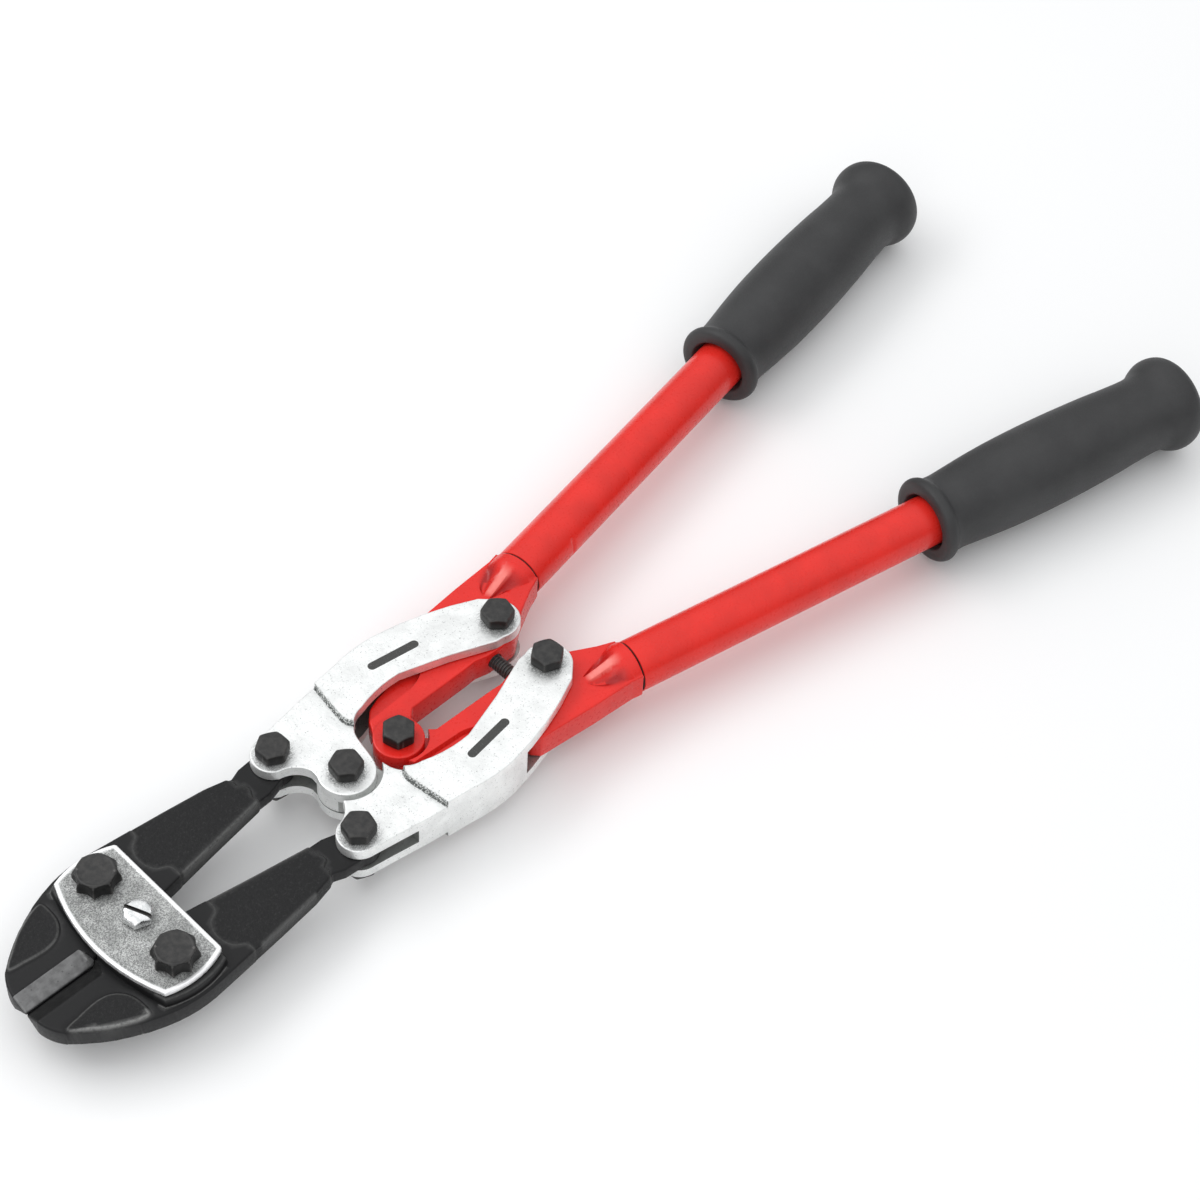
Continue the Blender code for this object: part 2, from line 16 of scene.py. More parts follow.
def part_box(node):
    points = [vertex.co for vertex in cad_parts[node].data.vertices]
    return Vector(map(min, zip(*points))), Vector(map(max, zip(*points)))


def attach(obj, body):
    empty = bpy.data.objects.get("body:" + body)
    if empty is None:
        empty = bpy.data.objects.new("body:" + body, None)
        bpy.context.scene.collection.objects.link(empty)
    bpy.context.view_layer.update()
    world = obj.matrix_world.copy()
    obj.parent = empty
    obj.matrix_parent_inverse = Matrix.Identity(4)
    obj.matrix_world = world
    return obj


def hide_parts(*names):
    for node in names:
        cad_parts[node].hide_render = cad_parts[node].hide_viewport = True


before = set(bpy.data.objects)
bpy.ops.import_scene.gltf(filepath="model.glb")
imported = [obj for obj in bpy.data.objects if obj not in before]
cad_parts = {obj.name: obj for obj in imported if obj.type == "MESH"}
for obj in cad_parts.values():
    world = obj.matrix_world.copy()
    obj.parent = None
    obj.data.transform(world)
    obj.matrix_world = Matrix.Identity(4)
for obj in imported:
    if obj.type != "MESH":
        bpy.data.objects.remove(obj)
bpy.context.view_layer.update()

MM = 0.001
LEFT = 1
RIGHT = -1
SIDES = (("left", LEFT), ("right", RIGHT))


def middle_of(*nodes):
    """Middle of the box round some CAD nodes, in metres."""
    corners = [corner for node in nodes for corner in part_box(node)]
    low = [min(corner[axis] for corner in corners) for axis in range(3)]
    high = [max(corner[axis] for corner in corners) for axis in range(3)]
    return Vector(low).lerp(Vector(high), 0.5)


ORIGIN = middle_of("centre_bolt")
ORIGIN.z = middle_of("upper_strap", "lower_strap").z

# --- sizes shared with the CAD
CENTRE = (0.0, 0.0)
JAW_PIVOT = (-93.0, 20.9)
TAIL_PIVOT = (-14.2, 22.9)
HANDLE_PIVOT = (84.2, 13.1)
HINGE = (24.4, 0.0)
CLAMP = (-92.2, 0.0)
GAP = 0.3
TAIL_HALF = 2.9
BLADE_HALF = 3.9
BOSS_HALF = 7.3
ARM_HALF = 5.3
TONGUE_HALF = 3.0
STRAP_INNER = 7.6
STRAP_OUTER = 9.9
FRONT_INNER = 3.3
FRONT_OUTER = 7.75
REAR_INNER = 6.2
REAR_OUTER = 10.4
REACH = 20.0
HEX_FLATS = 11.1
HEAD_HEIGHT = 5.2
NUT_HEIGHT = 4.3
THREAD_END = 0.8
SHANK = 3.2
BOLT_HOLE = 3.5
JAW_SHANK = 4.0
JAW_HOLE = 4.3
JAW_HEAD_HEIGHT = 5.7
JAW_NUT_FLATS = 13.0
CLAMP_FLATS = 10.0
CLAMP_CORNER = 42.0
CLAMP_SHANK = 3.0
CLAMP_HEAD_HEIGHT = 3.5
CLAMP_NUT_HEIGHT = 3.0
SLOT_TURN = math.radians(113.3)
SLOT_HALF = 0.75
SLOT_DEPTH = 1.3
STOP_X = 76.0
EAR = 9.3
EAR_RELIEF = 11.0
TONGUE_EYE = 10.6
LINK_CLEARANCE = 13.0
TUBE_START = (110.2, 29.9)
TUBE_ANGLE = math.radians(10.8)
TUBE_RADIUS = 10.0
TUBE_BORE = 8.5
TUBE_LENGTH = 250.0
COLLAR = 10.2
GRIP_BORE = 10.3
GRIP_END = 263.6
EDGE_Y = 0.15
BEVEL_TOP_Y = 6.5
EDGE_HALF = 0.3

ARC_STEP = math.radians(5.0)
EDGE_STEP = 0.6
SHARP = math.radians(38)


# --- lines in the plane
def arc_points(start, middle, end):
    """Points after start, up to end, on the circle through the three points."""
    a, b, c = Vector(start), Vector(middle), Vector(end)
    twice_area = 2 * ((b - a).x * (c - a).y - (b - a).y * (c - a).x)
    ab, ac = (b - a).length_squared, (c - a).length_squared
    centre = a + Vector(((c - a).y * ab - (b - a).y * ac,
                         (b - a).x * ac - (c - a).x * ab)) / twice_area
    radius = (a - centre).length
    first, via, last = (math.atan2(*(p - centre).yx) for p in (a, b, c))
    sweep = (last - first) % math.tau
    if (via - first) % math.tau > sweep:
        sweep -= math.tau
    count = max(2, math.ceil(abs(sweep) / ARC_STEP))
    angles = [first + sweep * i / count for i in range(1, count + 1)]
    return [(centre.x + radius * math.cos(t), centre.y + radius * math.sin(t)) for t in angles]


def fillet_points(before, corner, after, radius):
    """Points of the round that takes the place of a corner."""
    corner = Vector(corner)
    to_before = (Vector(before) - corner).normalized()
    to_after = (Vector(after) - corner).normalized()
    half = math.acos(max(-1.0, min(1.0, to_before.dot(to_after)))) / 2
    reach = radius / math.tan(half)
    bisector = (to_before + to_after).normalized()
    middle = corner + bisector * (radius / math.sin(half) - radius)
    start = corner + to_before * reach
    end = corner + to_after * reach
    return [tuple(start)] + arc_points(start, middle, end)


def outline(*items):
    """Closed outline from (x, y) corners, (x, y, round) corners and ("arc", via, end) runs."""
    corners = []
    for item in items:
        if item[0] == "arc":
            previous = corners[-1][:2]
            corners += [(*point, 0.0) for point in arc_points(previous, item[1], item[2])]
        else:
            corners.append((*item, 0.0)[:3])
    points = []
    for index, (x, y, radius) in enumerate(corners):
        if radius:
            before = corners[index - 1][:2]
            after = corners[(index + 1) % len(corners)][:2]
            points += fillet_points(before, (x, y), after, radius)
        else:
            points.append((x, y))
    return np.array(points)


def circle(centre, radius, count=48):
    turn = np.arange(count) * math.tau / count
    return np.stack([centre[0] + radius * np.cos(turn), centre[1] + radius * np.sin(turn)], 1)


def segments(line, closed):
    ends = np.roll(line, -1, axis=0) if closed else line[1:]
    return zip(line if closed else line[:-1], ends)


def resample(line, step, closed=True):
    """The same line with more points, no farther apart than step."""
    points = []
    for start, end in segments(line, closed):
        count = max(1, math.ceil(np.hypot(*(end - start)) / step))
        points += [start + (end - start) * i / count for i in range(count)]
    if not closed:
        points.append(line[-1])
    return np.array(points)


def smooth_line(points, closed=False, steps=8):
    """Catmull-Rom curve through the points."""
    points = np.array(points, float)
    if closed:
        padded = np.concatenate([points[-1:], points, points[:2]])
    else:
        padded = np.concatenate([points[:1], points, points[-1:]])
    t = np.linspace(0.0, 1.0, steps, endpoint=False)[:, None]
    runs = []
    for a, b, c, d in zip(padded, padded[1:], padded[2:], padded[3:]):
        runs.append(0.5 * (2 * b + (c - a) * t + (2 * a - 5 * b + 4 * c - d) * t ** 2
                           + (3 * b - a - 3 * c + d) * t ** 3))
    if not closed:
        runs.append(points[-1:])
    return np.concatenate(runs)


def nearest(xy, line, closed=True):
    """Distance from each point to the line."""
    best = np.full(len(xy), np.inf)
    for start, end in segments(line, closed):
        run = end - start
        along = np.clip((xy - start) @ run / max(run @ run, 1e-12), 0.0, 1.0)
        best = np.minimum(best, np.hypot(*(xy - start - along[:, None] * run).T))
    return best


def inside(xy, loop):
    x, y = xy.T
    odd = np.zeros(len(xy), bool)
    for (x1, y1), (x2, y2) in segments(loop, True):
        if y1 != y2:
            odd ^= ((y1 > y) != (y2 > y)) & (x < (x2 - x1) * (y - y1) / (y2 - y1) + x1)
    return odd


def ease(t):
    t = np.clip(t, 0.0, 1.0)
    return t * t * (3 - 2 * t)


def rise(xy, loop, width):
    """0 outside the loop and 1 inside it, with a ramp of this width across its line."""
    return ease(depth_inside(xy, loop) / width + 0.5)


def offset(line, amount, closed):
    """The line moved sideways, to the left of its direction for a positive amount."""
    if closed:
        ahead = np.roll(line, -1, axis=0) - np.roll(line, 1, axis=0)
    else:
        ahead = np.gradient(line, axis=0)
    normal = np.stack([-ahead[:, 1], ahead[:, 0]], 1)
    normal /= np.maximum(np.hypot(*normal.T), 1e-9)[:, None]
    return line + normal * amount


def kept_runs(line, keep):
    """Open stretches of a closed line over the points to keep."""
    if keep.all():
        return [np.concatenate([line, line[:1]])]
    start = int(np.argmin(keep))
    line, keep = np.roll(line, -start, axis=0), np.roll(keep, -start)
    breaks = np.flatnonzero(np.diff(keep.astype(int))) + 1
    parts = zip(np.split(line, breaks), np.split(keep, breaks))
    return [part for part, kept in parts if kept[0] and len(part) > 1]


def ramp_lines(loop, width, step=EDGE_STEP):
    """Closed lines that a ramp across the loop needs to be crisp."""
    loop = resample(loop, step)
    return [offset(loop, width * share, True) for share in (-0.5, -0.17, 0.17, 0.5)]


def turning(loop):
    """1 for an anticlockwise loop and -1 for a clockwise one."""
    ahead = np.roll(loop, -1, axis=0)
    return math.copysign(1.0, np.sum(loop[:, 0] * ahead[:, 1] - ahead[:, 0] * loop[:, 1]))


def inset(loop, depth, step=EDGE_STEP):
    """The loop drawn in by this depth, or out for a negative one."""
    loop = resample(loop, step)
    return offset(loop, depth * turning(loop), True)


WALL = 0.12


def depth_inside(xy, loop):
    return nearest(xy, loop) * np.where(inside(xy, loop), 1.0, -1.0)


def land(xy, loop, height, radius):
    """A raised land inside the loop: steep wall, then a top edge rounded to this radius."""
    depth = np.maximum(depth_inside(xy, loop), 0.0)
    wall = np.clip(depth / WALL, 0.0, 1.0)
    bend = np.clip((depth - WALL) / radius, 0.0, 1.0)
    return (height - radius) * wall + radius * np.sqrt(1.0 - (1.0 - bend) ** 2)


# --- meshes
def new_piece(name, verts, faces):
    mesh = bpy.data.meshes.new(name)
    mesh.from_pydata(np.asarray(verts).tolist(), [], [list(map(int, face)) for face in faces])
    piece = bpy.data.objects.new(name, mesh)
    bpy.context.scene.collection.objects.link(piece)
    return piece


def triangulate(loops, lines, points):
    """Triangles between the first loop and the holes, along the lines and through the points."""
    verts, edges = [], []

    def add_line(line, closed):
        first = len(verts)
        verts.extend(line)
        edges.extend((first + i, first + i + 1) for i in range(len(line) - 1))
        if closed:
            edges.append((first + len(line) - 1, first))

    for loop in loops:
        add_line(loop, True)
    for line in lines:
        add_line(line, False)
    verts.extend(points)
    flat = [Vector((float(x), float(y))) for x, y in verts]
    found, _, faces, *_ = delaunay_2d_cdt(flat, edges, [], 0, 1e-4)
    xy = np.array([tuple(point) for point in found])
    faces = np.array([face[:3] for face in faces])
    centres = xy[faces].mean(axis=1)
    keep = inside(centres, loops[0])
    for hole in loops[1:]:
        keep &= ~inside(centres, hole)
    faces = faces[keep]
    a, b, c = (xy[faces[:, i]] for i in range(3))
    area = (b - a)[:, 0] * (c - a)[:, 1] - (b - a)[:, 1] * (c - a)[:, 0]
    faces[area < 0] = faces[area < 0][:, ::-1]
    used, faces = np.unique(faces, return_inverse=True)
    return xy[used], faces.reshape(-1, 3)


def relief(name, edge, top, bottom=None, holes=(), lines=(), edge_round=0.6, grid=1.5):
    """A plate whose faces have heights top(xy) and bottom(xy), with its outer edges rounded.

    Without a bottom the lower face mirrors the upper one.
    """
    edge = resample(edge, EDGE_STEP)
    loops = [edge, *holes]
    lines = [run for line in lines
             for run in kept_runs(line, inside(line, edge) | (nearest(line, edge) < 1.0))]
    rings = []
    for share in (0.08, 0.3, 0.62, 1.0, 1.45):
        ring = offset(edge, edge_round * share * turning(edge), True)
        deep = nearest(ring, edge) > edge_round * share * 0.97
        rings.append(ring[deep & inside(ring, edge)])
    low, high = edge.min(axis=0), edge.max(axis=0)
    grid_x, grid_y = np.meshgrid(np.arange(low[0], high[0], grid), np.arange(low[1], high[1], grid))
    grid_y += (np.arange(grid_y.shape[1]) % 2)[None, :] * grid / 2
    inner = np.stack([grid_x.ravel(), grid_y.ravel()], 1)
    inner = inner[inside(inner, edge) & (nearest(inner, edge) > edge_round * 1.45 + grid * 0.3)]
    rings = np.concatenate(rings)
    for line in [*lines, *(np.concatenate([hole, hole[:1]]) for hole in holes)]:
        rings = rings[nearest(rings, line, False) > 0.12]
        inner = inner[nearest(inner, line, False) > grid * 0.35]
    xy, faces = triangulate(loops, lines, np.concatenate([rings, inner]))
    depth = nearest(xy, edge)
    depth[depth < 1e-3] = 0.0
    drop = edge_round - np.sqrt(np.maximum(edge_round ** 2 - np.maximum(edge_round - depth, 0) ** 2, 0))
    upper = top(xy) - drop
    lower = -upper if bottom is None else bottom(xy) + drop
    count = len(xy)
    verts = np.concatenate([np.column_stack([xy, upper]), np.column_stack([xy, lower])])
    sides = {}
    for face in faces:
        for first, second in ((0, 1), (1, 2), (2, 0)):
            a, b = int(face[first]), int(face[second])
            if (b, a) in sides:
                del sides[(b, a)]
            else:
                sides[(a, b)] = True
    walls = [(b, a, a + count, b + count) for a, b in sides]
    return new_piece(name, verts, [*faces, *(faces[:, ::-1] + count), *walls])


def prism(name, loop, low, high):
    """A flat outline given a thickness, for cutting."""
    count = len(loop)
    if turning(loop) < 0:
        loop = loop[::-1]
    verts = [(*point, low) for point in loop] + [(*point, high) for point in loop]
    walls = [(i, (i + 1) % count, count + (i + 1) % count, count + i) for i in range(count)]
    caps = [list(range(count))[::-1], list(range(count, 2 * count))]
    return new_piece(name, verts, [*walls, *caps])


def combine(piece, tool, operation):
    """Join or cut a piece with a tool, which is used up."""
    modifier = piece.modifiers.new("combine", "BOOLEAN")
    modifier.operation = operation
    modifier.solver = "EXACT"
    modifier.object = tool
    depsgraph = bpy.context.evaluated_depsgraph_get()
    old = piece.data
    mesh = bpy.data.meshes.new_from_object(piece.evaluated_get(depsgraph))
    piece.modifiers.clear()
    piece.data = mesh
    bpy.data.meshes.remove(old)
    bpy.data.objects.remove(tool, do_unlink=True)
    return piece


def cut(piece, loop, low=-REACH, high=REACH):
    return combine(piece, prism("cutter", np.array(loop, float), low, high), "DIFFERENCE")


def loft(name, rings, ring=False):
    """A skin through equal closed rings, with flat ends or closed on itself.

    Rings run up the outer side, anticlockwise as seen from their axis's end.
    """
    rings = np.asarray(rings)
    count, around = rings.shape[:2]
    verts = list(rings.reshape(-1, 3))
    faces = []
    for i in range(count if ring else count - 1):
        low, high = i * around, (i + 1) % count * around
        for j in range(around):
            k = (j + 1) % around
            faces.append((low + j, low + k, high + k, high + j))
    if not ring:
        verts += [rings[0].mean(axis=0), rings[-1].mean(axis=0)]
        start, end, last = len(verts) - 2, len(verts) - 1, (count - 1) * around
        for j in range(around):
            k = (j + 1) % around
            faces += [(start, k, j), (end, last + j, last + k)]
    return new_piece(name, verts, faces)


def upright(place):
    """Axes of a fastener along Z."""
    return np.array([*place, 0.0]), np.eye(3)


def tube_axes():
    """Seam centre and axes of the left tube: outward, up and along."""
    cos, sin = math.cos(TUBE_ANGLE), math.sin(TUBE_ANGLE)
    return np.array([*TUBE_START, 0.0]), np.array([(-sin, cos, 0.0), (0.0, 0.0, 1.0), (cos, sin, 0.0)])


def column(name, profile, axes, around=64, ring=False):
    """Rings (radius, height) about an axis, where a radius may be a function of the angle."""
    start, (across, up, along) = axes
    turn = np.arange(around) * math.tau / around
    rings = []
    for radius, height in profile:
        r = radius(turn) if callable(radius) else np.full(around, radius)
        h = height(turn) if callable(height) else np.full(around, height)
        rings.append(start + np.outer(r * np.cos(turn), across) + np.outer(r * np.sin(turn), up)
                     + np.outer(h, along))
    return loft(name, rings, ring)


def finish(piece, node, body, finishes, side=LEFT):
    """Scale the piece to metres, put it in the frame and let it stand for its CAD node."""
    mesh = piece.data
    piece.name = "fine_" + node
    mesh.name = piece.name
    mesh.transform(Matrix.Translation(ORIGIN) @ Matrix.Diagonal((MM, MM * side, MM, 1.0)))
    if side == RIGHT:
        mesh.flip_normals()
    mesh.shade_smooth()
    mesh.set_sharp_from_angle(angle=SHARP)
    for material in finishes:
        mesh.materials.append(material)
    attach(piece, body)
    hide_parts(node)
    return piece


def coordinates(piece):
    flat = np.empty(len(piece.data.vertices) * 3)
    piece.data.vertices.foreach_get("co", flat)
    return flat.reshape(-1, 3)


def mask(piece, name, values):
    """Store a number at each vertex for the materials to read."""
    layer = piece.data.attributes.new(name, "FLOAT", "POINT")
    layer.data.foreach_set("value", np.asarray(values, np.float32))


def paint(piece, index, chosen):
    """Give the material of this index to the faces that chosen(centre, normal) picks."""
    for face in piece.data.polygons:
        if chosen(face.center, face.normal):
            face.material_index = index


def is_upright(centre, normal):
    return abs(normal.z) < 0.4


# --- materials
class Finish:
    """A Principled material fed by textures in object space, whose unit is the metre."""

    def __init__(self, name, colour, roughness, metallic=0.0, **sockets):
        self.material = bpy.data.materials.new(name)
        self.material.use_nodes = True
        self.nodes = self.material.node_tree.nodes
        self.links = self.material.node_tree.links
        self.shader = self.nodes["Principled BSDF"]
        self.space = self.nodes.new("ShaderNodeTexCoord").outputs["Object"]
        sockets.update(Base_Color=(*colour, 1.0), Roughness=roughness, Metallic=metallic)
        for socket, value in sockets.items():
            self.shader.inputs[socket.replace("_", " ")].default_value = value

    def node(self, kind, inputs, output, **settings):
        made = self.nodes.new(kind)
        for name, value in settings.items():
            setattr(made, name, value)
        for socket, value in inputs.items():
            if isinstance(value, bpy.types.NodeSocket):
                self.links.new(value, made.inputs[socket])
            else:
                made.inputs[socket].default_value = value
        return made.outputs[output]

    def noise(self, size, detail=3.0, rough=0.55, stretch=None):
        """Noise whose patches are about this many millimetres."""
        space = self.space
        if stretch:
            space = self.node("ShaderNodeMapping", {"Vector": space, "Scale": stretch}, "Vector")
        return self.node("ShaderNodeTexNoise", {
            "Vector": space, "Scale": 1.0 / (size * MM), "Detail": detail,
            "Roughness": rough}, "Fac")

    def spots(self, size):
        """Distance to the nearest of many scattered points."""
        return self.node("ShaderNodeTexVoronoi", {
            "Vector": self.space, "Scale": 1.0 / (size * MM)}, "Distance")

    def ramp(self, value, start, end, low=0.0, high=1.0):
        return self.node("ShaderNodeMapRange", {
            "Value": value, "From Min": start, "From Max": end, "To Min": low,
            "To Max": high}, "Result", interpolation_type="SMOOTHSTEP")

    def maths(self, operation, first, second):
        return self.node("ShaderNodeMath", {0: first, 1: second}, 0, operation=operation)

    def times(self, first, second):
        return self.maths("MULTIPLY", first, second)

    def patches(self, size, detail, rough, *limits):
        """Noise sharpened by a ramp."""
        return self.ramp(self.noise(size, detail, rough), *limits)

    def attribute(self, name):
        return self.node("ShaderNodeAttribute", {}, "Fac", attribute_name=name)

    def blend(self, factor, *colours):
        """Mix of two colours."""
        first, second = ((*colour, 1.0) if isinstance(colour, tuple) else colour
                         for colour in colours)
        return self.node("ShaderNodeMix", {0: factor, 6: first, 7: second}, 2, data_type="RGBA")

    def bump(self, height, depth, below=None):
        """Bump of this depth in millimetres, on top of another one."""
        inputs = {"Height": height, "Strength": 1.0, "Distance": depth * MM}
        if below is not None:
            inputs["Normal"] = below
        return self.node("ShaderNodeBump", inputs, "Normal")

    def use(self, colour=None, roughness=None, normal=None):
        for socket, value in (("Base Color", colour), ("Roughness", roughness), ("Normal", normal)):
            if value is not None:
                self.links.new(value, self.shader.inputs[socket])
        return self.material


def cast_zinc(name, light, specks):
    """Zinc plate over a cast face: near white, with fine dark pores and cloudy gloss, darkened along a
    mask by painted shade mixed with dirt.
    """
    f = Finish(name, light, 0.4, metallic=0.75)
    cloud = f.noise(9.0, 4.0)
    grain = f.noise(0.55, 3.0, 0.6)
    pores = f.patches(0.7, 2.0, 0.7, 0.60, 0.72)
    # Dark patches along this mask: painted shade at the link's step and round the bolt heads, mixed
    # with dirt.
    grime_and_shade = f.times(f.patches(0.6, 2.0, 0.7, 0.38, 0.62), f.attribute("grime_and_shade"))
    dark = f.maths("MAXIMUM", f.times(pores, specks), grime_and_shade)
    shade = tuple(value * 0.86 for value in light)
    tone = f.blend(f.ramp(cloud, 0.3, 0.7), light, shade)
    colour = f.blend(dark, tone, (0.16, 0.17, 0.165))
    rough = f.ramp(grain, 0.25, 0.75, 0.34, 0.52)
    normal = f.bump(cloud, 0.5, f.bump(grain, 0.035, f.bump(f.noise(2.2, 3.0), 0.10)))
    return f.use(colour, rough, normal)


def speckled_zinc():
    """The strap's top: rougher, with grey blotches, pits and a smooth bright rim."""
    f = Finish("strap_zinc", (0.7, 0.71, 0.7), 0.4, metallic=0.75)
    rim = f.attribute("rim")
    inner = f.maths("SUBTRACT", 1.0, rim)
    grain = f.noise(0.6, 4.0, 0.7)
    pores = f.times(f.patches(0.5, 3.0, 0.75, 0.42, 0.58, 0.0, 0.8), inner)
    cloud = f.patches(5.0, 4.0, 0.55, 0.3, 0.7)
    tone = f.blend(cloud, (0.66, 0.67, 0.66), (0.42, 0.43, 0.42))
    tone = f.blend(rim, tone, (0.97, 0.97, 0.97))
    colour = f.blend(pores, tone, (0.16, 0.16, 0.16))
    rough = f.ramp(grain, 0.25, 0.75, 0.30, 0.55)
    depth = f.times(grain, inner)
    normal = f.bump(depth, 0.32)
    return f.use(colour, rough, normal)


def forged_black():
    """Blackened forging: satin, rough inside the sunk panels, lighter along raised lips and edges,
    partly worn and partly painted highlight.
    """
    f = Finish("forged_black", (0.008, 0.008, 0.0085), 0.45, Specular_IOR_Level=0.27)
    rough_mask = f.attribute("rough")
    scale = f.noise(1.1, 4.0, 0.65)
    fine = f.noise(0.35, 2.0)
    # Lighter marks from this mask: partly worn metal, partly painted highlight.
    wear_and_highlight = f.times(f.attribute("wear_and_highlight"), f.ramp(scale, 0.25, 0.6, 0.45, 1.0))
    dust = f.patches(0.9, 3.0, 0.7, 0.52, 0.72, 0.0, 0.6)
    tone = f.blend(f.times(dust, rough_mask), (0.008, 0.008, 0.0085), (0.03, 0.03, 0.03))
    colour = f.blend(wear_and_highlight, tone, (0.24, 0.24, 0.235))
    rough = f.maths("ADD", f.ramp(scale, 0.3, 0.7, 0.36, 0.5), f.times(rough_mask, 0.1))
    deep = f.times(scale, f.maths("ADD", rough_mask, 0.12))
    normal = f.bump(deep, 0.22, f.bump(fine, 0.012))
    return f.use(colour, rough, normal)


def ground_steel(name, light):
    """Cutting bevel: ground along the blade, with small pits."""
    f = Finish(name, (light, light, light), 0.4, metallic=0.85)
    lines = f.noise(0.35, 3.0, 0.6, stretch=(0.06, 1.0, 1.0))
    pits = f.ramp(f.spots(1.9), 0.10, 0.17, 1.0, 0.0)
    cloud = f.patches(3.0, 4.0, 0.55, 0.3, 0.7)
    tone = f.blend(cloud, (light, light, light), (light * 0.67,) * 3)
    colour = f.blend(f.times(pits, 0.7), tone, (light * 0.4,) * 3)
    rough = f.ramp(lines, 0.3, 0.7, 0.3, 0.5)
    return f.use(colour, rough, f.bump(lines, 0.015, f.bump(f.noise(1.4, 3.0), 0.06)))


def black_oxide(name, dark, light, gloss):
    """Bolts and nuts: phosphated black in two tones, lighter along the edges."""
    f = Finish(name, (dark, dark, dark), 0.48, Specular_IOR_Level=gloss)
    cloud = f.patches(2.5, 4.0, 0.55, 0.3, 0.75)
    grain = f.noise(0.4, 3.0, 0.6)
    tone = f.blend(cloud, (dark, dark, dark), (light, light * 0.95, light * 0.9))
    geometry = f.nodes.new("ShaderNodeNewGeometry").outputs["Pointiness"]
    worn = f.times(f.ramp(geometry, 0.52, 0.60), f.ramp(grain, 0.35, 0.6, 0.2, 0.8))
    colour = f.blend(worn, tone, (0.13, 0.125, 0.12))
    rough = f.ramp(grain, 0.25, 0.75, 0.38, 0.56)
    return f.use(colour, rough, f.bump(grain, 0.02, f.bump(f.noise(1.6, 3.0), 0.05)))


def bright_screw():
    """Bright plated screw and nut."""
    f = Finish("bright_screw", (0.85, 0.86, 0.86), 0.24, metallic=0.95)
    cloud = f.patches(1.8, 3.0, 0.55, 0.3, 0.7)
    tone = f.blend(cloud, (0.9, 0.9, 0.9), (0.66, 0.68, 0.68))
    grain = f.noise(0.5, 3.0)
    return f.use(tone, f.ramp(grain, 0.3, 0.7, 0.18, 0.36), f.bump(grain, 0.025))


def enamel(name, colour, wave):
    """Glossy red enamel with a slightly wavy skin, deep red in the scoops as painted shade and pale
    along the nose's crest as painted highlight.
    """
    f = Finish(name, colour, 0.3, Coat_Weight=0.2, Coat_Roughness=0.16, Specular_IOR_Level=0.25)
    cloud = f.patches(14.0, 3.0, 0.55, 0.3, 0.7)
    deeper = tuple(value * 0.88 for value in colour)
    tone = f.blend(cloud, colour, deeper)
    # Deep red in the scoops is painted shade; the pale tone along the crest is a painted highlight.
    tone = f.blend(f.attribute("hollow"), tone, (0.36, 0.007, 0.007))
    tone = f.blend(f.attribute("ridge_highlight"), tone, (0.90, 0.22, 0.19))
    skin = f.noise(1.6, 2.0)
    waves = f.bump(f.noise(6.0, 2.0), wave, f.bump(skin, 0.003))
    return f.use(tone, f.ramp(skin, 0.3, 0.7, 0.26, 0.34), waves)


def grip_rubber():
    """Matte moulded rubber with a faint dusty bloom."""
    f = Finish("moulded_rubber", (0.034, 0.034, 0.035), 0.55, Specular_IOR_Level=0.42)
    cloud = f.patches(18.0, 4.0, 0.55, 0.35, 0.75)
    grain = f.noise(0.45, 3.0, 0.6)
    bloom = f.patches(1.0, 3.0, 0.7, 0.55, 0.8, 0.0, 0.35)
    tone = f.blend(cloud, (0.030, 0.030, 0.031), (0.040, 0.040, 0.041))
    tone = f.blend(bloom, tone, (0.055, 0.055, 0.056))
    normal = f.bump(grain, 0.018, f.bump(f.noise(6.0, 3.0), 0.05))
    return f.use(tone, f.ramp(grain, 0.25, 0.75, 0.46, 0.62), normal)


def printed_dark():
    """Plain dark print on the links."""
    f = Finish("dark_print", (0.05, 0.05, 0.048), 0.5, Specular_IOR_Level=0.4)
    grain = f.noise(0.5, 3.0)
    tone = f.blend(f.ramp(grain, 0.55, 0.75), (0.05, 0.05, 0.048), (0.13, 0.13, 0.125))
    return f.use(tone, f.ramp(grain, 0.3, 0.7, 0.42, 0.58), f.bump(grain, 0.02))


LINK_ZINC = cast_zinc("link_zinc", (0.96, 0.97, 0.96), 0.55)
# Darker copy of the link zinc for the inner faces of the slots: painted shade.
SHADED_ZINC = cast_zinc("link_zinc_inside_shade", (0.45, 0.46, 0.45), 0.8)
STRAP_ZINC = speckled_zinc()
FORGED = forged_black()
GROUND = ground_steel("ground_steel", 0.21)
# Much darker copy of the ground steel for the right jaw's bevel: painted shade.
SHADED_GROUND = ground_steel("ground_steel_shade", 0.035)
OXIDE = black_oxide("black_oxide", 0.012, 0.036, 0.5)
# Darker copy of the black oxide for the upright sides of bolt heads: painted shade.
SHADED_OXIDE_SIDE = black_oxide("black_oxide_side_shade", 0.004, 0.010, 0.25)
BRIGHT = bright_screw()
ARM_RED = enamel("forging_enamel", (0.78, 0.022, 0.016), 0.02)
TUBE_RED = enamel("tube_enamel", (0.80, 0.026, 0.018), 0.01)
RUBBER = grip_rubber()
PRINT = printed_dark()


# --- fasteners
def hex_radius(flats, corner):
    """Distance to the side of a hexagon, with its corners slightly blunted."""
    def radius(turn):
        across = (turn - math.radians(corner)) % (math.pi / 3) - math.pi / 6
        return np.minimum(flats / 2 / np.cos(across), flats / math.sqrt(3) * 0.985)
    return radius


def shaved(radius, start, slope, height):
    """Height of a side that a cone of this slope cuts back beyond radius start."""
    return lambda turn: height - np.maximum(radius(turn) - start, 0.0) * slope


